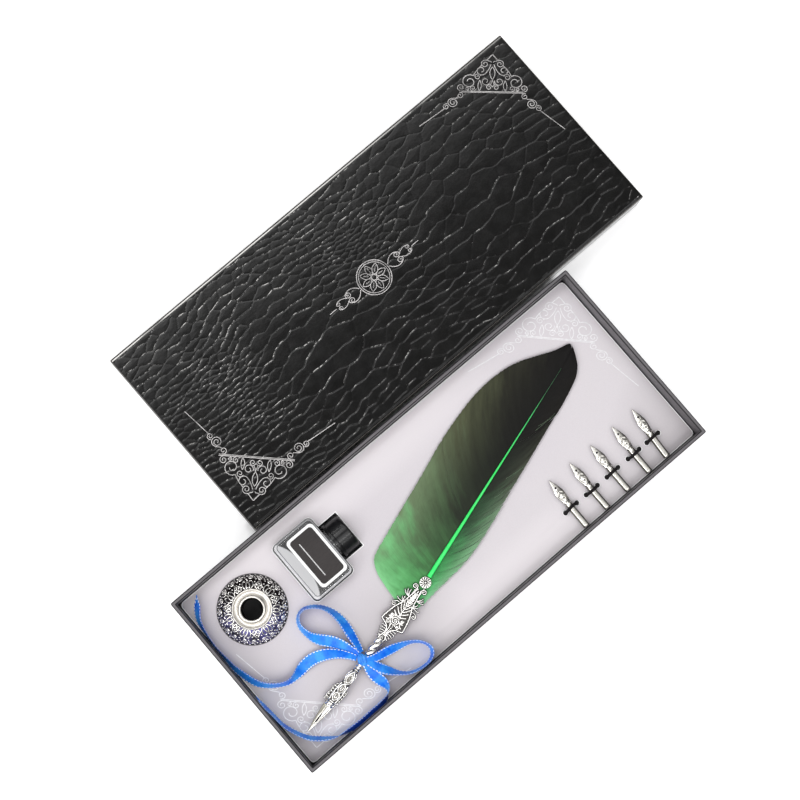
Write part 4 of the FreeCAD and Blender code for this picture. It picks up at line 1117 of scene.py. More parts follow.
# a shallow pressed slope first, then the roll over the edge
for go, fall in ((0.18, 0.06), (0.4, 0.15), (0.6, 0.29), (0.75, 0.48), (0.83, 0.7), (0.85, 0.85)):
    rings.append(np.column_stack([base_xy + out * go, np.full(len(rim), 22.0 - fall)]))
depths = np.arange(0.5, 20.8, 0.55)
sheet_xy = base_xy[None] + out[None] * (EDGE * 1.57 + depths)[:, None, None]
side_h = skin_height(sheet_xy[..., 0], sheet_xy[..., 1], 2.4)
side_h = np.clip(side_h, -0.18, 0.16) * np.clip(np.minimum(depths, depths[-1] - depths) / 1.0, 0, 1)[:, None]
for dz, hh in zip(depths, side_h):
    rings.append(np.column_stack([base_xy + out * (EDGE + hh[:, None]), np.full(len(rim), 22.0 - EDGE - dz)]))


def side_ring(inset, z):
    """A ring that keeps the rim's points, moved in from the outer face."""
    xy = base_xy + out * EDGE
    cx, cy = np.clip(xy[:, 0], -(LX - inset), LX - inset), np.clip(xy[:, 1], -(LY - inset), LY - inset)
    return np.column_stack([cx, cy, np.full(len(rim), z)])


rings += [
    side_ring(0.05, 0.14),
    side_ring(0.3, -0.02),
    side_ring(1.2, -0.02),
    side_ring(2.1, -0.02),
    side_ring(2.31, 0.2),
    side_ring(2.31, 11.6),
    side_ring(2.24, 11.66),
    side_ring(2.21, 0.25),
    side_ring(0.22, 0.01),
    side_ring(0.2, 21.78),
]
start = m * n
count = len(rim)
body = top.reshape(-1, 3)
previous = rim
for r, ring in enumerate(rings):
    here = start + r * count + np.arange(count)
    a, b = previous, np.roll(previous, -1)
    c, d = np.roll(here, -1), here
    for q in zip(a.tolist(), b.tolist(), c.tolist(), d.tolist()):
        f = [q[0]] + [v for p, v in zip(q, q[1:]) if v != p]
        if f[0] == f[-1]:
            f.pop()
        if len(f) > 2:
            faces.append(f)
    previous = here
verts = np.concatenate([body] + rings)
centre = len(verts)
verts = np.concatenate([verts, [[0.0, 0.0, 21.78]]])
faces += [[int(a), int(b), centre] for a, b in zip(previous, np.roll(previous, -1))]
marks = np.zeros((len(verts), 3))
# the painted-glint mask goes to the mesh as a point attribute
marks[: m * n, 0] = glint_paint.ravel()
# the far side's first two edge rings carry the painted highlight too
far_side = np.abs((np.array(normal) + 360.0) % 360.0 - 90.0) < 30.0
for r in (0, 1):
    marks[start + r * count : start + (r + 1) * count, 0] = np.where(far_side, marks[rim, 0] * (0.3 - 0.2 * r), 0.0)
lid.add(on_lid(verts), faces, extra=marks)
make("lid_cover", lid, lid_paper, "lid", "lid_cover_paper", sharp=75, attr="glint_paint", weld=False)
for n_ in ("lid_top_board", "lid_wall_front", "lid_wall_back", "lid_wall_left", "lid_wall_right"):
    nodes[n_].data.materials.clear()
    nodes[n_].data.materials.append(board_grey)
nodes["lid_liner_paper"].data.materials.clear()
nodes["lid_liner_paper"].data.materials.append(liner)


def lid_z(x, y):
    """Height of the embossed top at lid coordinates."""
    u = np.clip((np.asarray(x) - gx[0]) / (gx[1] - gx[0]), 0, m - 1.001)
    v = np.clip((np.asarray(y) - gy[0]) / (gy[1] - gy[0]), 0, n - 1.001)
    i, j = u.astype(int), v.astype(int)
    f, h = u - i, v - j
    return 22.0 + (H[i, j] * (1 - f) + H[i + 1, j] * f) * (1 - h) + (H[i, j + 1] * (1 - f) + H[i + 1, j + 1] * f) * h


def corner_scrolls(bar):
    """Scroll corner piece: (across, down) strokes from its point, both halves."""
    out = []

    def both(path, w=0.25):
        path = np.asarray(path, float)
        out.append((path, w))
        out.append((path * np.array([-1.0, 1.0]), w))

    out.append((np.array([(-3.0, 3.4), (-1.5, 1.7), (0, 0), (1.5, 1.7), (3.0, 3.4)]), 0.3))
    both(spiral((4.1, 5.7), 2.3, 0.5, -115, 520))
    both(bez((2.9, 3.4), (2.0, 4.6), (0.9, 3.6), (0.5, 4.7)))
    both(bez((5.8, 6.6), (7.6, 8.4), (9.2, 10.2), (10.3, 12.8)), 0.28)
    both(spiral((6.1, 9.8), 3.0, 0.9, 158, -420))
    both(bez((3.3, 11.0), (2.3, 9.6), (1.5, 8.4), (0.9, 6.0)))
    both(bez((0, 7.6), (1.9, 9.8), (1.9, 12.6), (0, 15.2)))
    both(spiral((8.1, 13.7), 1.9, 0.45, -160, 500))
    both(spiral((12.6, 16.7), 4.3, 1.2, -122, 470), 0.28)
    both(spiral((3.7, 16.3), 2.6, 0.8, -170, -430))
    both(bez((0, 15.2), (0.3, 16.6), (0.6, 17.4), (1.1, 18.4)))
    both(spiral((1.85, 20.0), 1.75, 0.45, 190, 480))
    both(bez((7.0, 15.8), (5.6, 18.2), (5.8, 20.4), (7.2, 22.0)))
    both(bez((7.0, 15.8), (8.2, 18.0), (8.3, 20.2), (7.2, 22.0)))
    both(spiral((10.8, 20.6), 1.65, 0.4, 90, -470))
    both(spiral((14.0, 21.1), 1.1, 0.4, 90, 430))
    both(spiral((17.3, 20.3), 2.1, 0.5, 80, -480))
    out.append((np.array([(-bar, 22.5), (-bar / 2, 22.5), (0, 22.5), (bar / 2, 22.5), (bar, 22.5)]), 0.26))
    out.append((np.array([(-bar, 23.15), (-bar / 2, 23.15), (0, 23.15), (bar / 2, 23.15), (bar, 23.15)]), 0.2))
    both(spiral((17.8, 25.1), 1.9, 0.45, -78, -470))
    both(bez((18.9, 26.6), (20.6, 27.2), (23.6, 26.2), (24.4, 29.2)), 0.27)
    both(spiral((21.6, 29.5), 2.8, 0.55, -6, 600))
    both(spiral((25.3, 32.1), 1.8, 0.4, -110, 520))
    both(bez((26.3, 33.4), (30.8, 37.0), (35.2, 40.6), (39.8, 44.2), 8), 0.27)
    return out


def medallion():
    """A plain rosette in a double ring with a scroll on each side."""
    out = []
    a = np.linspace(0, 2 * np.pi, 73)
    for r, w in ((8.4, 0.24), (9.5, 0.3)):
        out.append((np.stack([r * np.cos(a), r * np.sin(a)], -1), w))
    out.append((np.stack([1.5 * np.cos(a), 1.5 * np.sin(a)], -1), 0.24))
    for k in range(8):
        c, s = math.cos(k * math.pi / 4), math.sin(k * math.pi / 4)
        turn = np.array([[c, s], [-s, c]])
        half = np.concatenate([bez((1.7, 0), (3.2, 2.3), (5.8, 2.1), (7.7, 0), 12), bez((7.7, 0), (5.8, -2.1), (3.2, -2.3), (1.7, 0), 12)[1:]])
        out.append((half @ turn, 0.23))
        out.append((np.array([(3.0, 0), (4.4, 0), (5.8, 0)]) @ turn, 0.18))
    for sx in (-1, 1):
        for sy in (-1, 1):
            flip = np.array([sx, sy], float)
            out.append((bez((10.2, 0.6), (13.0, 4.8), (17.4, 4.2), (18.8, 1.9), 14) * flip, 0.28))
            out.append((spiral((17.0, 1.9), 1.8, 0.4, 0, -470) * flip, 0.25))
            out.append((bez((18.6, 0.9), (21.4, 3.2), (24.4, 2.8), (25.4, 1.4), 12) * flip, 0.25))
            out.append((spiral((24.2, 1.4), 1.2, 0.35, 0, -430) * flip, 0.22))
        out.append((np.array([(26.6, 0), (28.4, 0), (31.0, 0)]) * np.array([sx, 1.0]), 0.26))
    return out


def lay_strokes(strokes, place, height, lift, tall, fine=0.8):
    """Flat stamped lines that follow a surface."""
    sh = Shape()
    for path, w in strokes:
        path = np.asarray(path, float)
        length = np.linalg.norm(np.diff(path, axis=0), axis=1).sum()
        path = resample(path, max(4, int(length / 0.55)))
        xy = place(path)
        p = np.column_stack([xy, height(xy[:, 0], xy[:, 1]) + lift])
        sh.tube(p, w * fine, sides=6, up=UP, flat=tall / (w * fine), ends=True)
    return sh


def corner_place(apex, axis, sw=1.0, st=1.0):
    axis = np.asarray(axis, float) / np.linalg.norm(axis)
    lateral = np.array([axis[1], -axis[0]])
    return lambda p: np.asarray(apex) + p[:, 1:2] * st * axis + p[:, 0:1] * sw * lateral


def to_lid(p):
    """Tray coordinates of a point on the lid, in the lid's own frame."""
    c, s = math.cos(-LID_A), math.sin(-LID_A)
    d = np.asarray(p, float) - LID
    return np.array([d[0] * c - d[1] * s, d[0] * s + d[1] * c])


stamp = Shape()
for strokes, place in (
    (corner_scrolls(20.0), corner_place(to_lid((-68.3, 70.7)), (1.0, 1.0), 1.0, 1.0)),
    (corner_scrolls(17.0), corner_place(to_lid((186.4, 172.5)), (-0.66, -0.75), 0.99, 0.92)),
    (medallion(), lambda p: p + np.array([-2.0, 2.0])),
):
    part = lay_strokes(strokes, place, lid_z, 0.03, 0.05)
    for v in part.verts:
        v[:] = on_lid(v)
    stamp.add(np.concatenate(part.verts), part.faces)
make("lid_foil_stamping", stamp, foil, "lid", (), sharp=50, weld=False)

# ---------------------------------------------------------------- insert card
CX, CY, CARD_TOP = 132.2, 53.6, 28.0
loop_x = [113.35, 100.05, 85.1, 70.6, 56.1]
LOOP_Y = -40.7


def circle(cx, cy, r, n):
    return [(cx + r * math.cos(a), cy + r * math.sin(a)) for a in np.linspace(0, 2 * math.pi, n, endpoint=False)]


def card_outlines(grow):
    """Outer edge and the cut-outs of the card; grow shrinks the solid."""
    g = grow
    outer = [p[:2] for p in ring_around(CX - g, CY - g, 2.5 - g * 0.5, 0, 0, 8)]
    def turn(cx, cy, a0):
        return [(cx + (2.7 + g) * math.cos(rad(a0 + 15 * k)), cy + (2.7 + g) * math.sin(rad(a0 + 15 * k))) for k in range(7)]

    bottle = turn(-74.9, 10.7, 180) + turn(-54.3, 10.7, 270) + [(-51.6 + g, 15.4 - g), (-39.8 + g, 15.4 - g), (-39.8 + g, 37.8 + g), (-51.6 + g, 37.8 + g)]
    bottle += turn(-54.3, 42.5, 0) + turn(-74.9, 42.5, 90)
    holes = [circle(-105.0, 27.2, 18.3 + g, 96), bottle]
    for x in loop_x:
        for s in (-1, 1):
            holes.append(circle(x + s * 4.2 * 0.93, LOOP_Y, 1.25 + g, 20))
    return [outer] + holes


card = Shape()
levels = [(0.45, CARD_TOP), (0.3, CARD_TOP - 0.02), (0.06, CARD_TOP - 0.1), (0.0, CARD_TOP - 0.25), (0.0, 27.24), (0.04, 27.21)]
sets = [card_outlines(g) for g, _ in levels]
for which, flip, mat in ((0, False, 0), (len(levels) - 1, True, 1)):
    loops = sets[which]
    z = levels[which][1]
    flat = [p for l in loops for p in l]
    tris = geometry.tessellate_polygon([[(x, y, 0.0) for x, y in l] for l in loops])
    card.add([(x, y, z) for x, y in flat], [t[::-1] if flip else t for t in tris], mat)
for k in range(len(loops)):
    stack = [[(x, y, z) for x, y in s[k]] for s, (_, z) in zip(sets, levels)]
    # the pot's hole wall takes the dark grey paper: painted shade
    card.rings(stack, caps=(False, False), mat=2 if k == 1 else 1)
make("insert_panel", card, [panel, panel_edge, hole_shade], "insert", "insert_card", sharp=30)

print_shape = Shape()


def flat_card(x, y):
    return np.full(np.shape(x), CARD_TOP)


for strokes, place in (
    (corner_scrolls(18.0), corner_place((125.2, 48.2), (-1.0, -1.0), 1.14, 1.0)),
    (corner_scrolls(18.0), corner_place((-125.4, -48.4), (1.0, 1.0), 1.14, 1.0)),
    (medallion(), lambda p: p * 1.3 + np.array([0.0, -4.0])),
):
    part = lay_strokes(strokes, place, flat_card, 0.004, 0.022)
    print_shape.add(np.concatenate(part.verts), part.faces)
make("insert_panel_print", print_shape, panel_print, "insert", (), sharp=50, weld=False)


def boxed(lo, hi, bevel, segments):
    """A block with rounded edges as a plain mesh object."""
    bm = bmesh.new()
    bmesh.ops.create_cube(bm, size=1.0)
    lo, hi = np.asarray(lo, float), np.asarray(hi, float)
    for v in bm.verts:
        v.co = [(lo[k] + hi[k]) / 2 + v.co[k] * (hi[k] - lo[k]) for k in range(3)]
    if bevel:
        bmesh.ops.bevel(bm, geom=list(bm.edges), offset=bevel, segments=segments, profile=0.5, affect="EDGES")
    me = bpy.data.meshes.new("block")
    bm.to_mesh(me)
    bm.free()
    o = bpy.data.objects.new("block", me)
    scene.collection.objects.link(o)
    return o


def turned_tool(profile, sides, place):
    sh = Shape().lathe(profile, sides, place)
    me = bpy.data.meshes.new("turned")
    me.from_pydata(np.concatenate(sh.verts).tolist(), [], sh.faces)
    bm = bmesh.new()
    bm.from_mesh(me)
    bmesh.ops.recalc_face_normals(bm, faces=bm.faces)
    bm.to_mesh(me)
    bm.free()
    o = bpy.data.objects.new("turned", me)
    scene.collection.objects.link(o)
    return o


def combine(base, steps):
    """Unions and cuts, applied one after the other; the tools are removed."""
    for kind, tool in steps:
        mod = base.modifiers.new("b", "BOOLEAN")
        mod.operation, mod.object, mod.solver = kind, tool, "EXACT"
        dg = bpy.context.evaluated_depsgraph_get()
        me = bpy.data.meshes.new_from_object(base.evaluated_get(dg))
        base.modifiers.clear()
        old = base.data
        base.data = me
        bpy.data.meshes.remove(old)
        gone = tool.data
        bpy.data.objects.remove(tool)
        bpy.data.meshes.remove(gone)
    return base


def adopt(obj, name, mat, body, node, sharp=30.0):
    """Turns a built block, in millimetres, into a finished piece."""
    obj.data.transform(Matrix.Scale(0.001, 4))
    obj.name = name
    obj.data.name = name
    obj.data.materials.clear()
    obj.data.materials.append(mat)
    obj.data.polygons.foreach_set("use_smooth", np.ones(len(obj.data.polygons), bool))
    obj.data.set_sharp_from_angle(angle=rad(sharp))
    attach(obj, body)
    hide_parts(node)
    return obj


def upright(cx, cy):
    return lambda rings: rings + np.array([cx, cy, 0.0])


foam_block = combine(
    boxed((-132.1, -53.5, 2.0), (132.1, 53.5, 27.2), 0.7, 3),
    [
        ("DIFFERENCE", turned_tool([(18.9, 7.9), (18.9, 60.0)], 96, upright(-105.0, 27.2))),
        ("DIFFERENCE", boxed((-77.6, 8.0, 13.3), (-51.6, 45.2, 60.0), 0.5, 2)),
        ("DIFFERENCE", boxed((-54.0, 15.4, 13.3), (-39.8, 37.8, 60.0), 0.5, 2)),
    ],
)
adopt(foam_block, "foam_core", foam, "insert", "insert_foam")

# elastic loops: each rises through its card hole, crosses the shank and dives
loops_shape = Shape()
for k, x in enumerate(loop_x):
    bowed = (0.35, -0.2, 0.25, -0.25, 0.55)[k]
    tilt = (0.25, 0.3, 0.25, 0.1, 0.35)[k]
    ctrl = [
        (-4.1, 27.0), (-4.08, 28.0), (-3.9, 28.9), (-3.4, 30.15), (-2.55, 31.6), (-1.2, 32.48),
        (0.0, 32.75), (1.2, 32.48), (2.55, 31.6), (3.4, 30.15), (3.9, 28.9), (4.08, 28.0), (4.1, 27.0),
    ]
    pts = smooth_path(ctrl, 6)
    f = pts[:, 0] / 4.1
    p = np.column_stack([x + pts[:, 0], LOOP_Y + bowed * (1 - f**2) + tilt * f * 0.6, pts[:, 1]])
    r = 0.85 + 0.35 * np.clip((np.abs(f) - 0.78) / 0.2, 0, 1) ** 1.2
    m0 = loops_shape.count
    loops_shape.tube(p, r, sides=12)
    nn = len(loops_shape.verts[-1]) // 12
    s = np.repeat(np.linspace(0, 13.0, nn), 12)
    a = np.tile(np.linspace(0, 2 * np.pi, 12, endpoint=False), nn)
    loops_shape.extra[-1] = np.column_stack([s, a, 0 * s])
make("elastic_loops", loops_shape, elastic, "insert", "nib_loops", sharp=60, attr="lay")

# ---------------------------------------------------------------- pen pot
POT = np.array([-105.0, 27.2, 0.0])


def at_pot(rings):
    return rings + POT


outer = smooth_path(
    [(8.9, 35.4), (9.9, 35.2), (12.3, 34.6), (15.1, 32.9), (17.1, 30.3), (18.1, 27.0), (18.2, 24.0), (17.3, 19.4), (15.2, 15.2), (14.0, 12.2)], 8
)
foot = smooth_path([(14.0, 12.2), (14.2, 11.5), (14.8, 11.0), (14.9, 10.2), (14.75, 9.4), (14.4, 9.0)], 4)
inner = smooth_path([(12.4, 9.0), (12.4, 13.0), (13.5, 16.2), (15.5, 20.0), (16.4, 24.0), (16.4, 26.7), (15.5, 29.4), (13.9, 31.4), (11.2, 33.0), (8.9, 34.0)], 6)
pot = Shape()
pot.lathe(np.concatenate([outer, foot[1:], inner]), 96, at_pot, loop=True)
make("pot_body", pot, patina, "pot", "pot_shell", sharp=50)
reach = np.concatenate([[0], np.cumsum(np.linalg.norm(np.diff(outer, axis=0), axis=1))])
tang = np.gradient(outer, axis=0)
tang /= np.linalg.norm(tang, axis=1)[:, None]


def dome(a, b, lift):
    """A point on the pot's outside: a along the girth in mm at radius 14, b
    down the side, and how far it stands out."""
    b = np.asarray(b, float)
    th = np.asarray(a, float) / 14.0
    r, z = np.interp(b, reach, outer[:, 0]), np.interp(b, reach, outer[:, 1])
    nr, nz = -np.interp(b, reach, tang[:, 1]), np.interp(b, reach, tang[:, 0])
    rr, zz = r + nr * lift, z + nz * lift
    p = np.stack([POT[0] + rr * np.cos(th), POT[1] + rr * np.sin(th), zz], -1)
    nrm = np.stack([nr * np.cos(th), nr * np.sin(th), nz + 0 * th], -1)
    return p, nrm


relief = Shape()


def vine(path, r, lift=0.1, flat=0.95):
    path = np.asarray(path, float)
    length = np.linalg.norm(np.diff(path, axis=0), axis=1).sum()
    path = resample(path, max(4, int(length / 0.4)))
    p, nrm = dome(path[:, 0], path[:, 1], lift)
    rr = r * (0.75 + 0.25 * np.sin(np.linspace(0.25, np.pi - 0.25, len(p))))
    relief.tube(p, rr, sides=7, up=nrm, flat=flat)


def bead(a, b, r, flat=0.75):
    p, nrm = dome(np.array([a]), np.array([b]), 0.08)
    relief.ball(p[0], r, flat, nrm[0], 8, 5)


# a fan of leaves in turn with a pair of scrolls, all round the ring
turns = 7
pitch = 2 * math.pi * 14.0 / turns
for k in range(turns):
    o = np.array([k * pitch + 2.2, 0.0])
    for s in (-1.0, 1.0):
        f = np.array([s, 1.0])
        vine(bez((0.5, 1.6), (1.4, 2.6), (1.3, 4.2), (0.0, 6.1)) * f + o, 0.42)
        vine(bez((1.3, 1.6), (3.0, 2.2), (3.5, 4.2), (2.3, 6.0)) * f + o, 0.44)
        vine(bez((2.3, 6.0), (1.7, 6.9), (0.9, 6.5), (1.2, 5.8), 8) * f + o, 0.34)
        vine(spiral((5.0, 3.0), 1.45, 0.4, 165, -430) * f + o, 0.4)
        vine(bez((4.6, 4.4), (5.0, 5.2), (5.6, 5.6), (6.0, 6.6), 8) * f + o, 0.36)
        bead(o[0] + s * 3.9, 5.7, 0.5)
    bead(o[0], 2.6, 0.45)
    bead(o[0] + pitch / 2, 5.0, 0.6)
    bead(o[0], 7.0, 0.5)
# curls and beads out to the widest part, then the bowl
small = 20
sp = 2 * math.pi * 14.0 / small
jit = np.random.default_rng(5)
for k in range(small):
    o = np.array([k * sp, 0.0])
    f = np.array([1.0 if k % 2 else -1.0, 1.0])
    w = jit.random(10)
    vine(spiral((0.0, 8.6 + 0.2 * w[0]), 1.15, 0.35, 90 + 60 * w[1], 420) * f + o, 0.4)
    vine(bez((sp * 0.5 - 0.7, 7.6), (sp * 0.5 + 0.6, 7.9), (sp * 0.5 - 0.5, 8.9), (sp * 0.5 + 0.5, 9.4), 8) + o, 0.36)
    bead(o[0] + sp * (0.25 + 0.06 * w[2]), 10.4, 0.6)
    bead(o[0] + sp * (0.75 + 0.06 * w[3]), 10.3 + 0.3 * w[4], 0.54)
    vine(bez((-0.6, 10.4), (0.5, 10.9), (-0.5, 11.4), (0.4, 11.9), 8) * f + o, 0.34)
    bead(o[0] + sp * (0.02 + 0.06 * w[5]), 12.7, 0.56)
    bead(o[0] + sp * (0.5 + 0.06 * w[6]), 12.1 + 0.3 * w[7], 0.6)
for k in range(17):
    sp = 2 * math.pi * 14.0 / 17
    o = np.array([k * sp, 0.0])
    f = np.array([1.0 if k % 2 else -1.0, 1.0])
    vine(bez((-2.2, 14.9), (-1.8, 18.5), (-1.3, 23.0), (-0.8, 27.6), 14) + o, 0.34)
    vine(bez((2.2, 14.9), (1.8, 18.5), (1.3, 23.0), (0.8, 27.6), 14) + o, 0.34)
    vine(spiral((0.0, 16.6), 1.0, 0.3, 90, 430) * f + o, 0.28)
    vine(bez((0, 17.8), (0.5, 20.4), (-0.4, 23.2), (0, 26.4), 10) * f + o, 0.3)
    bead(o[0], 19.4, 0.4)
    bead(o[0] + sp * 0.5, 15.8, 0.45)
a = np.linspace(0, 2 * np.pi * 14.0, 161)[:-1]
for b, r in ((1.45, 0.24), (14.3, 0.26), (27.9, 0.3)):
    p, nrm = dome(a, np.full(len(a), b), 0.05)
    relief.tube(p, r, sides=6, up=nrm, loop=True)
make("pot_relief", relief, silver, "pot", (), sharp=60, weld=False)
ring = Shape()
ring.lathe(
    np.concatenate(
        [
            smooth_path([(8.8, 35.46), (9.9, 35.5), (10.45, 35.85), (10.6, 36.3), (10.45, 36.75), (10.1, 36.95), (9.6, 36.7), (9.0, 36.22), (8.4, 36.08), (7.85, 36.3), (7.4, 36.78), (7.0, 37.14), (6.6, 37.36), (6.2, 37.42), (5.9, 37.3), (5.72, 37.05)], 5),
            np.array([(5.72, 36.42), (7.34, 36.42), (7.34, 33.4), (8.8, 33.4)]),
        ]
    ),
    112,
    at_pot,
    loop=True,
)
make("pot_mouth", ring, ivory_metal, "pot", "pot_mouth_ring", sharp=45)
nodes["pot_sleeve"].data.materials.clear()
nodes["pot_sleeve"].data.materials.append(sleeve_black)
pad = Shape().lathe([(0.02, 8.0), (12.9, 8.0), (13.25, 8.12), (13.4, 8.4), (13.4, 8.8), (13.2, 8.98), (0.02, 8.99)], 72, at_pot)
make("pot_felt_pad", pad, felt, "pot", "pot_base_pad", sharp=45)

# ---------------------------------------------------------------- ink bottle
AX_Y, AX_Z = 26.6, 25.25


def along_x(rings):
    """Turned rings about local z, laid along X on the bottle's axis."""
    return np.stack([rings[..., 2], AX_Y + rings[..., 0], AX_Z + rings[..., 1]], -1)


def hollow(grow):
    """The ink's room: a box with a bowed inner face towards the foot."""
    sh = Shape()
    y0, y1, x1 = 10.6 - grow, 42.6 + grow, -54.2 + grow
    ys = np.linspace(y0, y1, 25)
    bow_ = -69.9 - grow - 3.2 * (np.abs(ys - 26.6) / (16.0 + grow)) ** 3.0
    line = [(x1 - 1.4, y1), (x1 - 0.4, y1 - 0.4), (x1, y1 - 1.4), (x1, y0 + 1.4), (x1 - 0.4, y0 + 0.4), (x1 - 1.4, y0)]
    line = [(x, y) for x, y in zip(bow_, ys)] + line
    ring_ = np.array(line)
    c = ring_.mean(0)
    rows = []
    for z, f in ((15.7 - grow, 0.95), (16.1 - grow, 0.985), (17.0, 1.0), (33.6, 1.0), (34.45 + grow, 0.985), (34.8 + grow, 0.95)):
        rows.append(np.column_stack([c + (ring_ - c) * f, np.full(len(ring_), z)]))
    sh.rings(np.array(rows)[::-1])
    return sh


def cast(sh):
    me = bpy.data.meshes.new("cast")
    me.from_pydata(np.concatenate(sh.verts).tolist(), [], sh.faces)
    bm = bmesh.new()
    bm.from_mesh(me)
    bmesh.ops.recalc_face_normals(bm, faces=bm.faces)
    bm.to_mesh(me)
    bm.free()
    o = bpy.data.objects.new("cast", me)
    scene.collection.objects.link(o)
    return o


def rounded(x0, x1, y0, y1, z0, z1, r, edge):
    """A block with round upright corners and softened top and bottom edges."""
    sh = Shape()
    mid = np.array([(x0 + x1) / 2, (y0 + y1) / 2, 0.0])
    turn = [(edge * (1 - math.sin(a)), edge * (1 - math.cos(a))) for a in np.linspace(0, np.pi / 2, 6)]
    rows = [(i, z0 + d) for i, d in turn] + [(i, z1 - d) for i, d in turn[::-1]]
    sh.rings([np.array(ring_around((x1 - x0) / 2, (y1 - y0) / 2, r, i, z, 8)) + mid for i, z in rows])
    return sh


bottle = combine(
    cast(rounded(-77.2, -52.0, 8.4, 44.8, 13.5, 36.25, 2.6, 0.9)),
    [
        ("UNION", cast(rounded(-75.8, -52.9, 9.6, 43.6, 14.2, 37.0, 2.2, 0.8))),
        ("UNION", turned_tool([(8.5, -53.5), (8.5, -44.0), (8.2, -43.2), (7.6, -43.0)], 64, along_x)),
        ("DIFFERENCE", cast(hollow(0.0))),
        ("DIFFERENCE", turned_tool([(6.0, -55.5), (6.0, -40.0)], 48, along_x)),
    ],
)
adopt(bottle, "bottle_body", glass, "bottle", "bottle_glass", 32.0)
adopt(cast(hollow(0.03)), "ink_body", ink, "bottle", "ink_fill", 40.0)


def plate(sh, x0, x1, y0, y1, r, z0, z1, mat=0):
    cx, cy = (x0 + x1) / 2, (y0 + y1) / 2
    hx, hy = (x1 - x0) / 2, (y1 - y0) / 2
    lift = np.array([cx, cy, 0.0])
    sh.rings([np.array(ring_around(hx, hy, r, i, z, 8)) + lift for i, z in ((0.0, z0), (0.0, z1 - 0.01), (0.015, z1))], mat=mat)


label = Shape()
plate(label, -70.5, -53.1, 11.2, 42.0, 2.4, 37.0, 37.13)
plate(label, -69.05, -54.55, 12.65, 40.55, 1.8, 37.02, 37.15, 1)
plate(label, -65.25, -64.75, 16.0, 37.0, 0.24, 37.05, 37.17)
make("bottle_label_paper", label, [white_paper, label_field], "bottle", "bottle_label", sharp=30)
cap = Shape()
cap.lathe(
    [
        (8.82, -50.58), (10.5, -50.58), (10.75, -50.4), (10.8, -50.1), (10.8, -49.2), (10.7, -48.9), (10.4, -48.75), (10.22, -48.6),
        (10.25, -48.0), (10.25, -44.0), (10.23, -41.4), (10.12, -40.85), (9.87, -40.45), (9.47, -40.22), (8.6, -40.2), (8.2, -40.3), (7.8, -40.42), (0.02, -40.42),
        (0.02, -42.2), (8.8, -42.2), (8.8, -43.6), (8.62, -43.9), (8.8, -44.2), (8.8, -45.8), (8.62, -46.1), (8.8, -46.4), (8.8, -49.8),
    ],
    112,
    along_x,
    loop=True,
)
make("cap_body", cap, cap_black, "cap", "cap_shell", sharp=35)
nodes["cap_liner"].data.materials.clear()
nodes["cap_liner"].data.materials.append(seal)

# ---------------------------------------------------------------- dip nibs
def nib_half(sign, length, width, crown, slit_end, gap, relief_fn, n_t=15):
    """One half of a nib's leaf as a grid (along, across, above): the slit and the
    vent stay open, and the sheet bends down towards the edge."""
    s = np.unique(np.concatenate([np.linspace(0.0, length, 100), np.linspace(slit_end - 1.0, slit_end + 1.0, 31)]))
    w = np.interp(s, width[:, 0], width[:, 1])
    inner_edge = np.minimum(np.maximum(np.where(s < slit_end, 0.035, 0.0), gap(s)), w * 0.8)
    f = np.linspace(0, 1, n_t)
    t = inner_edge[:, None] + (w - inner_edge)[:, None] * f[None, :]
    c = np.interp(s, crown[:, 0], crown[:, 1])
    bend = np.interp(s, crown[:, 0], crown[:, 2])
    z = c[:, None] - bend[:, None] * (t / np.maximum(w[:, None], 0.2)) ** 2
    z = z + relief_fn(s[:, None] + 0 * t, t, w[:, None])
    return np.stack([s[:, None] + 0 * t, sign * t, z], -1)


def spare_gap(s):
    return 0.62 * np.sqrt(np.clip(1 - ((s - 5.2) / 0.62) ** 2, 0, None))


def spare_relief(s, t, w):
    """Pressed oval rim with a small leaf spray inside it."""
    u = (s - 9.7) / 3.6
    v = t / (w * 0.72 + 1e-6)
    q = np.sqrt(u**2 + v**2)
    rim_ = 0.15 * np.exp(-(((q - 1.0) / 0.16) ** 2))
    stem = 0.1 * np.exp(-((t / 0.2) ** 2)) * (q < 0.95)
    leaf = 0.15 * np.clip(np.sin(s * 2.0 - t * 1.6), 0, 1) * np.clip(1.15 - q, 0, 1) ** 0.5 * (t > 0.12)
    return (rim_ + stem + leaf) * np.clip((s - 5.9) / 0.5, 0, 1) * np.clip((13.6 - s) / 0.4, 0, 1)


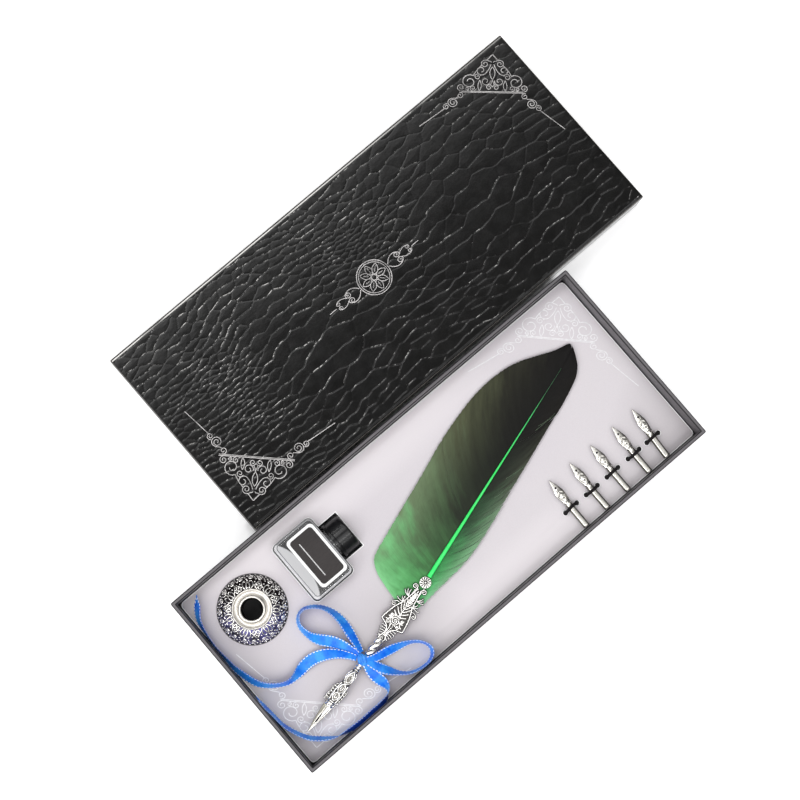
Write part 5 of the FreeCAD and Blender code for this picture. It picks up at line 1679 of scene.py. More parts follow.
spare_w = np.array([(0, 0.12), (1.2, 0.42), (2.5, 0.82), (5.0, 1.62), (7.0, 2.1), (8.4, 2.3), (10.5, 2.22), (12.4, 2.0), (13.6, 1.8), (14.4, 1.7), (15.0, 1.72), (15.8, 1.84), (16.4, 1.85)])
spare_w = np.array([(q[0], q[1]) for q in smooth_path(spare_w, 6)])
spare_c = np.array([(0, 0.4, 0.02), (3.0, 0.72, 0.15), (7.0, 1.15, 0.62), (10.0, 1.4, 0.85), (13.0, 1.55, 0.85), (14.4, 1.64, 0.8), (15.8, 1.82, 1.5), (16.4, 1.85, 1.8)])
nib_x = [113.3, 100.1, 85.1, 70.6, 56.1]
nib_turn = [86.0, 89.3, 89.8, 90.0, 89.4]
for k in range(5):
    turn = rad(nib_turn[k] + 180.0)
    c, s_ = math.cos(turn), math.sin(turn)
    back = 31.0 - 12.6
    ox, oy = nib_x[k] - back * c, LOOP_Y - back * s_

    def on_nib(p):
        p = np.asarray(p, float)
        return np.stack([ox + p[..., 0] * c - p[..., 1] * s_, oy + p[..., 0] * s_ + p[..., 1] * c, 29.95 + p[..., 2]], -1)

    sh = Shape()
    for sign in (-1, 1):
        g = nib_half(sign, 16.4, spare_w, spare_c, 5.2, spare_gap, spare_relief)
        sh.sheet(on_nib(g if sign > 0 else g[:, ::-1]), 0.2)
        # a dark sheet under the leaf, a hair wider than it: painted shadow round the leaf
        h = g.copy()
        h[..., 1] *= 1 + (0.2 if sign > 0 else 0.12) / np.maximum(np.abs(g[..., -1:, 1]), 0.3)
        h[..., 2] -= 0.26
        sh.sheet(on_nib(h if sign > 0 else h[:, ::-1]), 0.1, mat=1)
    # a dark dished strip under the vent: painted shade seen through it
    g = np.stack(np.meshgrid(np.linspace(4.2, 6.2, 9), np.linspace(-0.8, 0.8, 7), indexing="ij"), -1)
    sh.sheet(on_nib(np.concatenate([g, (0.5 + 0.12 * (g[..., 0:1] - 4.2) - 0.1 * g[..., 1:2] ** 2)], -1)), 0.1, mat=1)
    # side lugs at the waist; one of them is dark silver: painted shade
    for sign in (-1, 1):
        sh.ball(on_nib((14.1, sign * 1.5, 0.95)), 0.42, 0.8, (0, 0, 1), 8, 5, mat=1 if sign > 0 else 0)
    # rolled shank with its open seam
    a = np.linspace(rad(52), rad(52 + 342), 36)
    ss = np.array([15.5, 15.8, 18.0, 22.0, 26.0, 29.5, 30.6, 30.9])
    rr = np.array([1.76, 1.85, 1.85, 1.85, 1.85, 1.85, 1.85, 1.79])
    outer_g = np.stack([np.repeat(ss[:, None], 36, 1), rr[:, None] * np.cos(a)[None], rr[:, None] * np.sin(a)[None]], -1)
    inner_g = np.stack([np.repeat(ss[:, None], 36, 1), (rr - 0.28)[:, None] * np.cos(a)[None], (rr - 0.28)[:, None] * np.sin(a)[None]], -1)
    sh.rings(on_nib(np.concatenate([outer_g, inner_g[:, ::-1]], 1)))
    # the inside, the seam faces and bands along both sides take dark silver, with darker steel next to them: painted
    # shade
    for q in range(len(sh.faces) - 2 - 72 * 7, len(sh.faces) - 2):
        col = (q - (len(sh.faces) - 2 - 72 * 7)) % 72
        turn_ = (52 + 342 * (col + 0.5) / 35) % 360
        if col >= 35 or turn_ > 330 or 160 < turn_ < 240:
            sh.ids[q] = 1
        elif 128 < turn_ <= 160 or 300 < turn_ <= 330:
            sh.ids[q] = 2
    make("spare_nib_body_%d" % (k + 1), sh, [steel, silver_shade_dark, steel_shade], "spare_nib_%d" % (k + 1), "spare_nib_%d" % (k + 1), sharp=40)

# ---------------------------------------------------------------- pen
pen_w = np.array([(0, 0.1), (2.0, 0.5), (4.0, 0.9), (6.2, 1.26), (9.0, 1.66), (12.0, 2.04), (16.0, 2.5), (18.2, 2.66)])
pen_w = np.array([(q[0], q[1]) for q in smooth_path(pen_w, 6)])
pen_c = np.array([(0, 0.45, 0.02), (4.0, 0.95, 0.2), (6.2, 1.2, 0.34), (9.0, 1.4, 0.42), (13.0, 1.65, 0.5), (18.2, 1.85, 0.55)])


def pen_relief(s, t, w):
    return -0.12 * np.exp(-(((t - 0.7 * w) / 0.14) ** 2)) * (s > 4.0) * (s < 15.5)


def pen_gap(s):
    return 0.5 * np.sin(np.pi * np.clip((s - 4.6) / 7.4, 0, 1)) ** 0.8


sh = Shape()
for sign in (-1, 1):
    g = nib_half(sign, 18.2, pen_w, pen_c, 5.0, pen_gap, pen_relief)
    if sign > 0:  # the flank away from the light is a separate strip in darker steel: painted shade
        sh.sheet(on_pen(g[:, 5:]), 0.2, mat=2)
        sh.sheet(on_pen(g[:, :6]), 0.2)
    else:
        sh.sheet(on_pen(g[:, ::-1]), 0.2)
    # a dark sheet under the leaf, a little wider: painted shadow round the nib
    h = g.copy()
    h[..., 1] *= 1 + 0.16 / np.maximum(np.abs(g[..., -1:, 1]), 0.3)
    h[..., 2] -= 0.28
    sh.sheet(on_pen(h if sign > 0 else h[:, ::-1]), 0.1, mat=1)
# a dark strip under the slit: painted shade in the opening
g = np.stack(np.meshgrid(np.linspace(4.0, 13.0, 20), np.linspace(-0.85, 0.85, 7), indexing="ij"), -1)
sh.sheet(on_pen(np.concatenate([g, (0.3 + 0.04 * (g[..., 0:1] - 4.0) - 0.15 * g[..., 1:2] ** 2)], -1)), 0.15, mat=1)
sh.lathe([(1.55, 16.6), (1.83, 16.8), (1.83, 29.4), (1.55, 29.4)], 32, pen_lathe, loop=True)
make("pen_nib_body", sh, [steel, silver_shade_dark, steel_shade], "pen", "pen_nib", sharp=40)
nodes["nib_ferrule"].data.materials.clear()
nodes["nib_ferrule"].data.materials.append(silver_soft)
sh = Shape()
sh.lathe(
    np.concatenate([smooth_path([(1.9, 16.5), (2.3, 16.3), (2.75, 16.5), (2.95, 17.0), (2.7, 17.45), (2.45, 17.7), (2.6, 18.1), (2.5, 18.7), (2.2, 18.94), (1.9, 18.94)], 4)]),
    56, pen_lathe, loop=True,
)
for k in range(12):
    a = k * math.pi / 6
    sh.ball(on_pen((18.2, 2.5 * math.cos(a), 2.5 * math.sin(a))), 0.36, 1.0, (0, 0, 1), 8, 5)
make("nib_collar_ring", sh, silver, "pen", "nib_collar", sharp=50)

grip_profile = smooth_path(
    [(2.4, 18.98), (2.55, 19.6), (2.42, 20.4), (2.5, 21.6), (2.55, 23.6), (2.55, 26.4), (2.5, 29.0), (2.45, 30.6), (2.4, 31.8), (2.5, 33.4), (2.4, 35.2), (2.1, 37.2), (1.65, 39.2), (1.5, 40.38)], 6
)
grip = Shape()
grip.lathe(np.concatenate([grip_profile, [(0.02, 40.38), (0.02, 31.1), (2.15, 31.1), (2.15, 18.98)]]), 48, pen_lathe, mat=1, loop=True)


def grip_r(s):
    return np.interp(s, grip_profile[:, 1], grip_profile[:, 0])


def on_grip(path, lift):
    """Points (along, angle in degrees from the top) on the grip."""
    path = np.asarray(path, float)
    r = grip_r(path[:, 0]) + lift
    a = np.radians(path[:, 1])
    p = np.stack([path[:, 0], r * np.sin(a), r * np.cos(a)], -1)
    nrm = np.stack([0 * r, np.sin(a), np.cos(a)], -1)
    world = on_pen(p)
    return world, nrm[:, 1:2] * PEN_Y + nrm[:, 2:3] * UP


def grip_wire(path, r=0.3, lift=0.12, mat=0):
    path = smooth_path(path, 5)
    flat = path * np.array([1.0, 0.045])
    length = np.linalg.norm(np.diff(flat, axis=0), axis=1).sum()
    sflat = resample(np.column_stack([flat, path[:, 1]]), max(5, int(length / 0.35)))
    p, nrm = on_grip(np.column_stack([sflat[:, 0], sflat[:, 2]]), lift)
    grip.tube(p, r * 1.3, sides=8, up=nrm, mat=mat)


for base in (0, 180):
    # nested pointed ovals near the top, leaf pairs and small scrolls below
    for s in (-1, 1):
        grip_wire([(30.5, base), (31.8, base + 34 * s), (33.4, base + 52 * s), (35.4, base + 42 * s), (37.4, base + 18 * s), (38.6, base)], 0.36)
        grip_wire([(31.6, base), (32.6, base + 22 * s), (33.6, base + 30 * s), (35.0, base + 24 * s), (36.6, base)], 0.3)
        grip_wire([(33.0, base + 45 * s), (34.6, base + 66 * s), (36.4, base + 70 * s), (38.2, base + 50 * s)], 0.3)
        grip_wire([(20.4, base + 4 * s), (21.6, base + 26 * s), (23.0, base + 34 * s), (24.4, base + 22 * s), (25.0, base + 4 * s)], 0.3)
        grip_wire([(24.8, base + 4 * s), (26.2, base + 28 * s), (27.8, base + 36 * s), (29.4, base + 24 * s), (30.2, base + 4 * s)], 0.3)
        grip_wire([(21.8, base), (22.6, base + 12 * s), (23.6, base + 10 * s)], 0.24)
        grip_wire([(26.6, base), (27.6, base + 14 * s), (28.8, base + 9 * s)], 0.24)
        grip_wire([(20.0, base + 52 * s), (23.0, base + 58 * s), (26.5, base + 60 * s), (30.2, base + 50 * s)], 0.34)
        grip_wire([(22.0, base + 46 * s), (23.6, base + 40 * s), (24.8, base + 52 * s)], 0.24)
        grip_wire([(26.0, base + 52 * s), (27.6, base + 46 * s), (29.0, base + 50 * s)], 0.24)
    for s0, r in ((34.0, 0.5), (24.8, 0.42), (30.2, 0.42), (20.8, 0.4)):
        p, nrm = on_grip(np.array([(s0, base)]), 0.1)
        grip.ball(p[0], r, 0.7, nrm[0], 9, 5)
for s0 in (19.5, 39.7):
    a = np.linspace(0, 360, 49)[:-1]
    p, nrm = on_grip(np.column_stack([np.full(48, s0), a]), 0.05)
    grip.tube(p, 0.34, sides=8, up=np.repeat(PEN_X[None], 48, 0), loop=True)
# a comb of standing hooks along one side, an arcade of small bars along the other; the dark web behind the hooks and
# the dark, wider wires under the hooks and the rail are painted shade
web = np.array([(18.9, 2.0, 2.9), (20.6, 2.0, 3.5), (24.0, 2.0, 3.4), (27.0, 2.0, 3.3), (28.6, 2.0, 2.6)])
ws = np.linspace(18.9, 28.6, 24)
wf = np.linspace(0, 1, 4)
lo_, hi_ = np.interp(ws, web[:, 0], web[:, 1]), np.interp(ws, web[:, 0], web[:, 2])
for side in (1, -1):
    lat = lo_[:, None] + (hi_ - lo_)[:, None] * wf[None]
    g = np.stack([np.repeat(ws[:, None], 4, 1), side * lat, -0.35 + 0 * lat], -1)
    grip.sheet(on_pen(g if side > 0 else g[:, ::-1]), 0.5, mat=1)
for s0, tip in zip((19.4, 21.1, 22.8, 24.5, 26.2, 27.9), (4.4, 4.45, 4.2, 4.05, 4.2, 3.7)):
    q = np.concatenate([bez((s0 + 0.7, 2.1), (s0 + 1.0, 3.2), (s0 + 0.5, tip + 0.1), (s0 - 0.5, tip), 10), bez((s0 - 0.5, tip), (s0 - 1.1, tip - 0.2), (s0 - 1.0, tip - 0.8), (s0 - 0.6, tip - 0.8), 6)[1:]])
    grip.tube(on_pen(np.column_stack([q, 0.25 + 0 * q[:, 0]])), 0.24, sides=8)
    grip.tube(on_pen(np.column_stack([q, -0.15 + 0 * q[:, 0]])), 0.46, sides=8, mat=1)
rail_ = smooth_path([(18.6, -2.3), (20.0, -2.95), (23.0, -3.4), (26.0, -3.75), (27.6, -3.6), (28.8, -2.5)], 8)
grip.tube(on_pen(np.column_stack([rail_, 0.25 + 0 * rail_[:, 0]])), 0.22, sides=8)
grip.tube(on_pen(np.column_stack([rail_, -0.15 + 0 * rail_[:, 0]])), 0.44, sides=8, mat=1)
for s0 in (19.9, 21.7, 23.5, 25.3, 27.0):
    q = bez((s0 + 0.3, -2.1), (s0 - 0.2, -2.6), (s0 + 0.2, -3.1), (s0, -3.4), 8)
    grip.tube(on_pen(np.column_stack([q, 0.1 + 0 * q[:, 0]])), 0.26, sides=8)
make("pen_grip_casting", grip, [silver, silver_old_and_shade], "pen", "pen_grip", sharp=55, weld=False)
sh = Shape()
sh.lathe(
    smooth_path([(0.02, 40.4), (1.25, 40.42), (1.7, 40.7), (1.92, 41.3), (1.7, 41.9), (1.3, 42.2), (1.6, 42.45), (1.75, 42.95), (1.55, 43.5), (1.2, 43.78), (0.02, 43.79)], 5),
    40, pen_lathe,
)
make("stem_bead_pair", sh, silver, "pen", "stem_beads", sharp=50)
# twisted stem: two stout strands wound round each other
sh = Shape()
ss = np.linspace(43.82, 59.86, 120)
aa = np.linspace(0, 2 * np.pi, 56, endpoint=False)
spin = (ss - 43.8) / 9.6 * 2 * np.pi
full = np.interp(ss, [43.8, 48.6, 49.6, 59.0, 59.9], [0.72, 0.72, 1.0, 1.0, 0.85])
lobes = (1.55 + 0.95 * np.abs(np.cos(aa[None, :] - spin[:, None])) ** 0.9) * full[:, None]
rings = np.stack([np.repeat(ss[:, None], 56, 1), lobes * np.cos(aa)[None], lobes * np.sin(aa)[None]], -1)
sh.rings(on_pen(rings))
make("twisted_stem_rope", sh, silver, "pen", "twisted_stem", sharp=60)

# filigree plate: raised frame, a relief leaf inside it and curls outside
plate_s = Shape()


def fil(path, r=0.4, z=0.45, mat=0, flat=0.9, shade=0.22):
    path = np.asarray(path, float)
    length = np.linalg.norm(np.diff(path, axis=0), axis=1).sum()
    path = resample(path, max(5, int(length / 0.35)))
    rr = r * (0.72 + 0.28 * np.sin(np.linspace(0.3, np.pi - 0.3, len(path))))
    plate_s.tube(on_pen(np.column_stack([path, np.full(len(path), z)])), rr, sides=8, up=UP, flat=flat, mat=mat)
    # the wider dark tube under the stroke is a painted shadow
    if shade:
        plate_s.tube(on_pen(np.column_stack([path, np.full(len(path), z - 0.34)])), rr + shade, sides=8, up=UP, flat=0.5, mat=1)


def fil2(path, *a, **k):
    path = np.asarray(path, float)
    fil(path, *a, **k)
    fil(path * np.array([1.0, -1.0]), *a, **k)


fil2(smooth_path([(59.4, 0.2), (59.8, 1.3), (60.6, 1.7), (61.8, 1.45), (63.4, 0.95), (65.2, 0.98), (66.6, 1.5), (67.6, 2.4), (68.4, 3.7), (68.9, 5.2), (69.3, 6.6)], 6), 0.46, 0.3)
fil2(smooth_path([(69.3, 6.6), (71.2, 6.5), (74.0, 5.9), (78.0, 4.85), (82.5, 2.95), (88.0, 1.8), (92.4, 0.9)], 6), 0.46, 0.3)
leaf_w = np.array([(59.5, 0.8), (60.6, 1.4), (61.8, 1.2), (63.4, 0.8), (65.2, 0.85), (66.6, 1.3), (67.6, 2.1), (68.6, 3.3), (69.4, 4.6), (70.4, 5.3), (72.0, 5.35), (74.0, 5.0), (78.0, 3.95), (82.5, 2.1), (88.0, 1.05), (92.0, 0.4)])
ls = np.linspace(59.5, 92.0, 150)
lw = np.interp(ls, leaf_w[:, 0], leaf_w[:, 1])
lf = np.linspace(-1, 1, 31)
S, T = np.repeat(ls[:, None], 31, 1), lw[:, None] * lf[None]
Z = 0.0 * S - 0.12
g = np.stack([S, T * 1.08, Z], -1)
# a dark plate behind the frame and the relief: painted shade in the gaps between the raised lines
plate_s.sheet(on_pen(g), 0.45, mat=2)
# relief inside the frame: a flower, a midrib and leaf pairs that fan from it
fil(spiral((72.0, 0.1), 2.6, 0.55, 30, 800), 0.36, 0.3, shade=0)
for k in range(6):
    a = 2 * math.pi * k / 6 + 0.5
    e_, g_ = np.array([math.cos(a), math.sin(a)]), np.array([-math.sin(a), math.cos(a)])
    c0 = np.array([72.0, 0.1])
    fil(bez(c0 + e_ * 2.5, c0 + e_ * 3.0 + g_ * 0.2, c0 + e_ * 3.4 + g_ * 0.8, c0 + e_ * 3.4 + g_ * 1.7, 10), 0.38, 0.28, shade=0)
plate_s.ball(on_pen((71.9, 0.0, 0.35)), 0.6, 0.8, UP, 10, 6)
fil(np.array([(74.4, 0.0), (80.0, 0.0), (86.0, 0.0), (91.6, 0.0)]), 0.46, 0.32, shade=0)
for s0, t1, ds in ((74.6, 3.5, 1.0), (76.2, 3.2, 1.5), (77.9, 2.7, 1.9), (79.7, 2.1, 2.0), (81.5, 1.5, 2.0), (83.4, 1.05, 1.9), (85.4, 0.85, 1.7), (87.4, 0.7, 1.5)):
    fil2(bez((s0, 0.3), (s0 + 0.1 * ds, t1 * 0.4), (s0 + 0.9 * ds, t1 * 0.75), (s0 + ds * 1.7, t1 * 1.08), 9), 0.44, 0.28, shade=0)
for tip in ((70.5, 4.9), (72.6, 4.6), (74.4, 4.1)):
    fil2(bez((72.6, 2.2), (71.9, 3.0), (tip[0] - 0.4, tip[1] - 1.0), tip, 9), 0.42, 0.26, shade=0)
fil2(spiral((69.9, 2.9), 1.0, 0.3, 60, 420), 0.36, 0.26, shade=0)
fil2(spiral((73.6, 3.2), 0.9, 0.3, 200, -420), 0.36, 0.3, shade=0)
fil2(bez((62.2, 0.4), (64.0, 0.2), (66.4, 0.5), (69.4, 0.7), 12), 0.3, 0.28, shade=0)
fil(spiral((60.7, 0.0), 0.95, 0.3, 0, 430), 0.26, 0.3, shade=0)
# curls and sprays outside the rails
fil(np.concatenate([bez((80.6, 3.5), (81.4, 4.6), (81.0, 6.2), (79.6, 7.0), 8), spiral((78.8, 6.2), 1.15, 0.3, 40, 420)]), 0.3, 0.3)
fil(np.concatenate([bez((80.4, -3.6), (81.4, -4.8), (81.0, -6.4), (80.0, -7.1), 8), spiral((79.2, -6.3), 1.15, 0.3, -40, -420)]), 0.3, 0.3)
for s0, t0, tips in (
    (82.4, 3.0, ((82.8, 7.0), (84.5, 5.0), (85.5, 3.8))),
    (86.3, 2.2, ((88.2, 6.2), (89.5, 5.1), (90.1, 3.5))),
    (83.4, -2.6, ((85.7, -4.2), (84.3, -5.4), (82.9, -7.1))),
    (86.8, -2.2, ((90.0, -4.5), (88.9, -5.4), (87.8, -6.3))),
):
    for tip in tips:
        d_ = np.array(tip) - np.array((s0, t0))
        bow_ = np.array([-d_[1], d_[0]]) * 0.16 * np.sign(t0)
        q = bez((s0, t0), np.array((s0, t0)) + d_ * 0.33 + bow_, np.array((s0, t0)) + d_ * 0.72 + bow_, tip, 10)
        fil(q, 0.3, 0.25)
fil(np.concatenate([bez((87.6, 2.0), (89.4, 1.9), (90.6, 1.7), (91.4, 1.9), 8), spiral((92.6, 3.0), 1.55, 0.35, -130, 500)]), 0.32, 0.35)
fil(np.concatenate([bez((87.8, -2.0), (89.4, -1.8), (90.6, -1.5), (91.4, -1.6), 8), spiral((92.6, -2.7), 1.55, 0.35, 130, -500)]), 0.32, 0.35)
# short combs beside the neck
for base_, tip in (((65.6, 1.1), (65.1, 4.4)), ((64.4, 1.0), (63.6, 3.9)), ((63.2, 1.0), (62.5, 3.4)), ((61.9, 1.4), (60.9, 2.8)), ((66.6, 1.5), (66.6, 4.3))):
    for s in (1, -1):
        b0, t0 = np.array(base_) * (1, s), np.array(tip) * (1, s)
        q = bez(b0, b0 + (t0 - b0) * 0.4 + np.array([0.5, 0]), t0 + np.array([0.5, 0.0]), t0, 9)
        fil(q, 0.28, 0.15)
make("filigree_casting", plate_s, [silver, silver_shade_dark, silver_deep], "pen", "filigree_plate", sharp=55, weld=False)

# flower disc: twelve flat petals parted by pressed lines
ROS = on_pen(np.array([97.2, 0.0, 0.0]))
ros = Shape()
aa = np.linspace(0, 2 * np.pi, 144, endpoint=False)
rr = np.array([0.55, 0.8, 0.95, 1.1, 1.35, 1.6, 1.9, 2.2, 2.45, 2.65, 2.85, 3.0, 3.12])
line_ = np.abs((aa * 12 / (2 * np.pi) + 0.5) % 1.0 - 0.5) * 2 * np.pi / 12  # from the nearest line
rim_r = 1.0 - 0.035 * np.exp(-((line_ * 3.0 / 0.22) ** 2))
rings = []
for r in rr:
    win = np.clip((r - 0.85) / 0.2, 0, 1) * np.clip((2.95 - r) / 0.4, 0, 1)
    z = 0.95 - 0.3 * (r / 3.1) ** 3 - 0.34 * win * np.exp(-((line_ * r / 0.15) ** 2)) - (0.12 if r > 3.05 else 0.0)
    rings.append(np.stack([r * rim_r * np.cos(aa), r * rim_r * np.sin(aa), z], -1))
for r, z in ((3.16, 0.3), (3.16, -0.6), (2.9, -0.9), (0.55, -0.9)):
    rings.append(np.stack([r * rim_r * np.cos(aa), r * rim_r * np.sin(aa), np.full(144, z)], -1))
ros.rings(np.array(rings) + ROS, loop=True)
# the centre ring and the pressed lines between the petals take dark silver: painted shade
for k in range(len(ros.faces)):
    row, col = divmod(k, 144)
    near_line = min(col % 12, 11 - col % 12)
    if row in (0, 1) or (2 <= row <= 9 and near_line <= (1 if row < 5 else 2)):
        ros.ids[k] = 1
make("flower_disc", ros, [silver_soft, silver_shade_dark], "pen", "flower_rosette", sharp=50)
sh = Shape()
sh.lathe(smooth_path([(0.02, -1.1), (0.52, -1.08), (0.52, 0.86), (0.56, 1.0), (0.42, 1.2), (0.02, 1.28)], 4), 32, lambda r: r + ROS)
a = np.linspace(0, 2 * np.pi, 40, endpoint=False)
# a dark ring on the disc round the rivet: painted shade
sh.tube(ROS + np.stack([0.74 * np.cos(a), 0.74 * np.sin(a), np.full(40, 0.92)], -1), 0.13, sides=8, up=UP, mat=1, loop=True)
make("flower_rivet", sh, [silver_soft, silver_shade_dark], "pen", "rosette_rivet", sharp=50)

# ---------------------------------------------------------------- feather
SH_A = rad(16.87)
SH_X = np.array([math.cos(SH_A), math.sin(SH_A), 0.0])
SH_Y = np.array([-math.sin(SH_A), math.cos(SH_A), 0.0])
ROS0 = np.array([ROS[0], ROS[1], 0.0])
sh = Shape()
d = np.linspace(3.5, 134.0, 80)
f = (d - 3.45) / (134.0 - 3.45)
rr = np.interp(f, [0.0, 0.1, 0.3, 0.55, 0.76, 0.88, 1.0], [1.2, 1.05, 0.76, 0.48, 0.28, 0.15, 0.05])
aa = np.linspace(0, 2 * np.pi, 20, endpoint=False)
zc = 31.18 - 0.45 * f
cross_w = rr[:, None] * np.cos(aa)[None]
cross_h = rr[:, None] * np.where(np.sin(aa) > 0, 0.8, 0.9)[None] * np.sin(aa)[None] - 0.1 * rr[:, None] * np.exp(-((np.cos(aa) / 0.3) ** 2))[None] * (np.sin(aa) > 0)[None]
rings = ROS0 + d[:, None, None] * SH_X + cross_w[..., None] * SH_Y + (zc[:, None] + cross_h)[..., None] * UP
sh.rings(rings, extra=np.stack([np.repeat(f[:, None], 20, 1), np.repeat(aa[None], 80, 0), np.zeros((80, 20))], -1))
make("quill_rachis", sh, quill_green, "pen", "quill_shaft", sharp=60, attr="lay")

spine = smooth_path([(-44.5, -23.8), (-28.0, -20.5), (20.4, -5.9), (66.4, 8.1), (94.6, 16.7), (111.4, 22.0)], 30)
left_edge = smooth_path(
    [
        (-44.9, -22.4), (-45.6, -18.5), (-45.0, -8.9), (-43.6, 0.0), (-40.6, 5.8), (-36.2, 8.6), (-25.6, 12.3), (-12.9, 16.7), (1.1, 21.4), (13.9, 25.9), (25.3, 30.1),
        (38.9, 34.0), (53.3, 37.2), (66.1, 38.4), (78.4, 37.6), (86.9, 35.4), (95.3, 31.9), (103.3, 28.4), (108.0, 27.0), (112.0, 26.0), (113.0, 24.8),
    ],
    12,
)
right_edge = smooth_path(
    [
        (-44.0, -24.6), (-42.0, -26.6), (-36.6, -28.5), (-28.5, -28.1), (-19.0, -27.5), (-5.4, -26.4), (3.8, -24.6), (13.4, -21.8), (22.8, -18.7), (34.2, -14.6), (49.0, -9.6),
        (61.2, -5.5), (76.2, -0.4), (88.4, 3.4), (101.8, 8.9), (107.4, 13.1), (110.2, 17.4), (112.2, 21.8), (113.0, 24.6),
    ],
    12,
)


def along(path, f):
    s = np.concatenate([[0], np.cumsum(np.linalg.norm(np.diff(path, axis=0), axis=1))])
    q = np.clip(f, 0, 1) * s[-1]
    return np.stack([np.interp(q, s, path[:, 0]), np.interp(q, s, path[:, 1])], -1)


def vane(name, edge, side, mat, node, splits, ahead, seed):
    """One side of the feather: barbs from the shaft to the edge, parted at a
    few splits, with a ragged rim."""
    r = np.random.default_rng(seed)
    sh = Shape()
    cuts = [0.0] + [s[0] for s in splits] + [1.0]
    gaps = [0.0] + [s[1] for s in splits] + [0.0]
    fade = [0.01] + [s[2] for s in splits] + [0.01]
    v = np.linspace(0, 1, 24)
    for k in range(len(cuts) - 1):
        a, b = cuts[k], cuts[k + 1]
        count = max(8, int((b - a) * 880))
        u = np.linspace(a, b, count)
        e = u + ahead * u**0.7 * (1 - u)
        # barbs beside a split swing away from it towards the edge
        swing = gaps[k] * np.exp(-(u - a) / fade[k]) - gaps[k + 1] * np.exp(-(b - u) / fade[k + 1])
        thin = 0.012 + (0.11 * np.clip((0.45 - u) / 0.3, 0, 1) if side < 0 else 0.0)
        rag = 1.0 - thin * r.random(count) ** 2 - 0.006 * np.abs(np.sin(u * 190.0 + 1.3 * np.sin(u * 47)))
        root = along(spine, u)
        tip = along(edge, e + swing)
        mid = root + (tip - root) * 0.5
        dirn = np.gradient(spine, axis=0)
        flow = tip - root
        perp = np.stack([-flow[:, 1], flow[:, 0]], -1) * (-side) * 0.1
        ctrl = mid - perp
        end = root + (tip - root) * rag[:, None]
        bar = (1 - v)[None, :, None] ** 2 * root[:, None] + 2 * ((1 - v) * v)[None, :, None] * ctrl[:, None] + (v**2)[None, :, None] * end[:, None]
        ridge = 0.05 * np.abs(((u * 250.0) % 1.0) * 2 - 1)[:, None] * (0.4 + 0.6 * v)[None, :] + 0.05 * np.sin(u * 71.0 + 0.8)[:, None] * v[None, :]
        z = 30.16 + 0.55 * np.sin(np.pi * np.clip(v, 0, 1) * 0.8)[None, :] - 0.75 * v[None, :] ** 2 + ridge + 0.25 * np.sin(u * 9.0 + side)[:, None] * v[None, :] ** 2
        lower = np.clip((u - 0.0) / 0.06, 0, 1)[:, None]
        z = 29.75 + (z - 29.75) * (0.35 + 0.65 * lower)
        grid = np.concatenate([bar, z[..., None]], -1)
        ex = np.stack([np.repeat(u[:, None], 24, 1), np.repeat(v[None], count, 0), np.repeat((u * 880)[:, None], 24, 1)], -1)
        thick = np.repeat((0.16 - 0.1 * v)[None], count, 0)
        sh.sheet(grid if side < 0 else grid[::-1], thick if side < 0 else thick[::-1], extra=ex if side < 0 else ex[::-1])
    return make(name, sh, mat, "pen", node, sharp=70, attr="barb", weld=False)


vane("feather_left", left_edge, 1.0, vane_left_mat, "feather_vane_left", [(0.34, 0.0005, 0.01)], 0.62, 21)
vane("feather_right", right_edge, -1.0, vane_right_mat, "feather_vane_right", [(0.07, 0.0018, 0.006), (0.1, 0.0014, 0.006), (0.135, 0.002, 0.006), (0.165, 0.0015, 0.006), (0.2, 0.0022, 0.007), (0.232, 0.0015, 0.006), (0.262, 0.0018, 0.006), (0.3, 0.0014, 0.006), (0.345, 0.0016, 0.006), (0.4, 0.001, 0.006), (0.63, 0.0022, 0.01)], 0.5, 22)

loose = Shape()
hr = np.random.default_rng(77)
for u0, out_len, swing in (
    (0.2, 5.0, 0.3), (0.3, 6.0, 0.15), (0.36, 4.6, 0.1), (0.43, 3.4, -0.1), (0.62, 2.2, 0.4), (0.64, 1.8, -0.2),
):
    root = along(spine, np.array([u0]))[0]
    e = u0 + 0.5 * u0**0.7 * (1 - u0)
    tip = along(right_edge, np.array([e]))[0]
    flow = (tip - root) / np.linalg.norm(tip - root)
    perp = np.array([-flow[1], flow[0]])
    reach_ = np.linalg.norm(tip - root)
    start = root + flow * reach_ * 0.55
    end = tip + flow * out_len * 0.45 + perp * swing * 4.0
    mid = (start + end) / 2 + perp * (hr.random() - 0.5) * 2.0
    q = bez(start, start * 0.5 + mid * 0.5, mid * 0.5 + end * 0.5, end, 14)
    z = np.linspace(30.75, 30.05, 14) + 0.2 * np.sin(np.linspace(0, np.pi, 14))
    loose.tube(np.column_stack([q, z]), np.linspace(0.06, 0.025, 14), sides=5)
make("feather_loose_barbs", loose, hair, "pen", (), sharp=60, weld=False)

# ---------------------------------------------------------------- stage and light
floor_mat = Mat("floor", color=(0.86, 0.86, 0.865), spec=0.2, glow=(1.0, 1.0, 1.0))
# the floor glows evenly, which washes out cast shadows on it; the slot between lid and tray is left unlit, so it stays
# dark: painted shade there
f_at = floor_mat.split(floor_mat.at())
f_in = floor_mat.math("MULTIPLY", floor_mat.level(f_at[1], 0.053, 0.055), floor_mat.level(f_at[1], 0.066, 0.064))
f_in = floor_mat.math("MULTIPLY", f_in, floor_mat.math("MULTIPLY", floor_mat.level(f_at[0], -0.082, -0.076), floor_mat.level(f_at[0], 0.138, 0.134)))
floor_mat.set(glow_power=floor_mat.level(f_in, 0.0, 1.0, 0.4, 0.0))
grain = floor_mat.noise(floor_mat.at(), 6.0, 2.0)
floor_mat.set(rough=floor_mat.level(grain, 0.3, 0.7, 0.62, 0.7))
fm = bpy.data.meshes.new("floor")
fm.from_pydata([(-4, -4, -0.00003), (4, -4, -0.00003), (4, 4, -0.00003), (-4, 4, -0.00003)], [], [(0, 1, 2, 3)])
fm.materials.append(floor_mat.m)
floor = bpy.data.objects.new("floor", fm)
scene.collection.objects.link(floor)

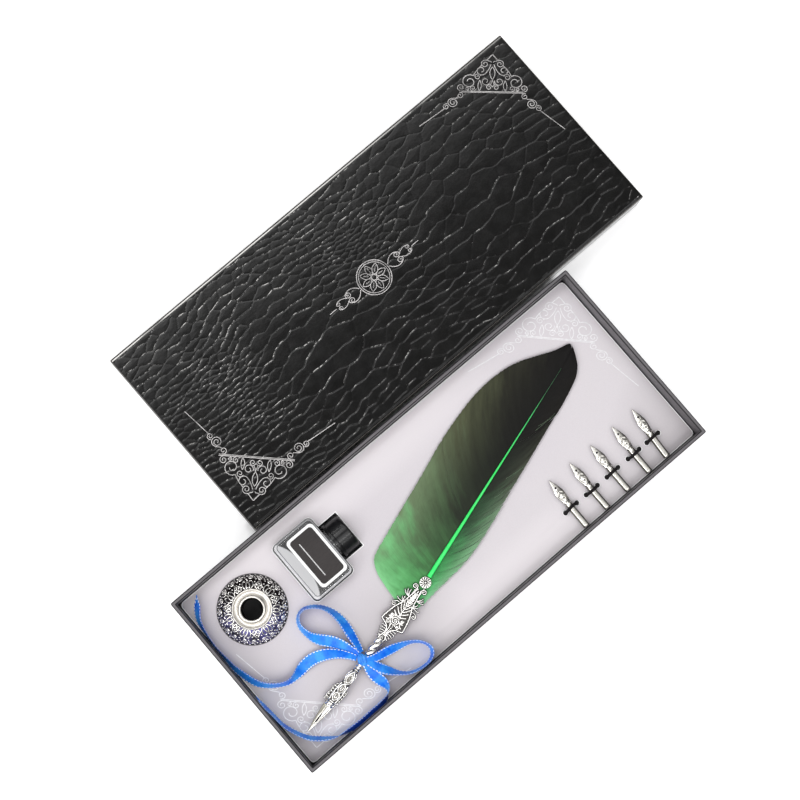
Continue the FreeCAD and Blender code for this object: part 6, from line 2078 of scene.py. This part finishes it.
world = bpy.data.worlds.new("studio")
scene.world = world
world.use_nodes = True
wt = world.node_tree
wt.nodes.clear()
w_out = wt.nodes.new("ShaderNodeOutputWorld")
w_bg = wt.nodes.new("ShaderNodeBackground")
w_co = wt.nodes.new("ShaderNodeTexCoord")
w_sep = wt.nodes.new("ShaderNodeSeparateXYZ")
w_ramp = wt.nodes.new("ShaderNodeValToRGB")
wt.links.new(w_co.outputs["Generated"], w_sep.inputs[0])
wt.links.new(w_sep.outputs[2], w_ramp.inputs[0])
el = w_ramp.color_ramp.elements
el[0].position, el[0].color = 0.0, (0.08, 0.08, 0.081, 1)
el[1].position, el[1].color = 1.0, (1.0, 1.0, 1.0, 1)
for at_, v in ((0.25, 0.15), (0.5, 0.35), (0.7, 0.7), (0.85, 1.0)):
    e = el.new(at_)
    e.color = (v, v, v, 1)
w_side = wt.nodes.new("ShaderNodeMapRange")
w_side.inputs["From Min"].default_value, w_side.inputs["From Max"].default_value = -0.35, 0.5
w_side.inputs["To Min"].default_value, w_side.inputs["To Max"].default_value = 1.2, 0.62
wt.links.new(w_sep.outputs[0], w_side.inputs["Value"])
w_deep = wt.nodes.new("ShaderNodeMapRange")
w_deep.inputs["From Min"].default_value, w_deep.inputs["From Max"].default_value = -1.0, 1.0
wt.links.new(w_sep.outputs[1], w_deep.inputs["Value"])
w_bank = wt.nodes.new("ShaderNodeValToRGB")
wt.links.new(w_deep.outputs[0], w_bank.inputs[0])
bank = w_bank.color_ramp.elements
steps = (
    (-1.0, 0.6), (-0.6, 0.8), (-0.4, 1.5), (-0.12, 1.5), (-0.04, 0.7), (0.01, 0.16), (0.1, 0.18),
    (0.14, 0.3), (0.18, 0.75), (0.24, 1.9), (0.36, 1.9), (0.46, 0.7), (0.7, 0.45), (1.0, 0.4),
)
bank[0].position, bank[1].position = 0.0, 1.0
for y_, v in steps[1:-1]:
    bank.new((y_ + 1) / 2)
for e, (y_, v) in zip(bank, steps):
    e.position = (y_ + 1) / 2
    e.color = (v / 1.9, v / 1.9, v / 1.9, 1)
w_mul = wt.nodes.new("ShaderNodeMix")
w_mul.data_type, w_mul.blend_type = "RGBA", "MULTIPLY"
w_mul.inputs[0].default_value = 1.0
wt.links.new(w_ramp.outputs[0], w_mul.inputs[6])
wt.links.new(w_side.outputs[0], w_mul.inputs[7])
w_mul2 = wt.nodes.new("ShaderNodeMix")
w_mul2.data_type, w_mul2.blend_type = "RGBA", "MULTIPLY"
w_mul2.inputs[0].default_value = 1.0
wt.links.new(w_mul.outputs[2], w_mul2.inputs[6])
wt.links.new(w_bank.outputs[0], w_mul2.inputs[7])
wt.links.new(w_mul2.outputs[2], w_bg.inputs[0])
w_bg.inputs[1].default_value = 1.9 * 1.42
wt.links.new(w_bg.outputs[0], w_out.inputs[0])


def softbox(name, place, look, size_x, size_y, power, color=(1, 1, 1)):
    li = bpy.data.lights.new(name, "AREA")
    li.shape = "RECTANGLE"
    li.size, li.size_y = size_x, size_y
    li.energy = power
    li.color = color
    o = bpy.data.objects.new(name, li)
    scene.collection.objects.link(o)
    from_to = np.asarray(look, float) - np.asarray(place, float)
    z = -from_to / np.linalg.norm(from_to)
    x = np.cross((0, 0, 1.0), z)
    x /= np.linalg.norm(x)
    y = np.cross(z, x)
    o.matrix_world = Matrix(
        ((x[0], y[0], z[0], place[0]), (x[1], y[1], z[1], place[1]), (x[2], y[2], z[2], place[2]), (0, 0, 0, 1))
    )
    return o


softbox("back_strip", (-0.12, 1.08, 1.12), (0.0, 0.07, 0.0), 1.5, 0.025, 1.6)
softbox("back_strip_high", (-0.12, 0.72, 1.35), (0.0, 0.07, 0.0), 1.5, 0.025, 1.6)
softbox("front_strip", (-0.1, -0.98, 1.14), (0.0, 0.05, 0.0), 1.5, 0.03, 1.7)
softbox("front_strip_high", (-0.1, -0.55, 1.35), (0.0, 0.05, 0.0), 1.5, 0.035, 2.2)
softbox("left_box", (-1.3, 0.1, 0.9), (0.0, 0.0, 0.0), 0.6, 0.5, 4.6)
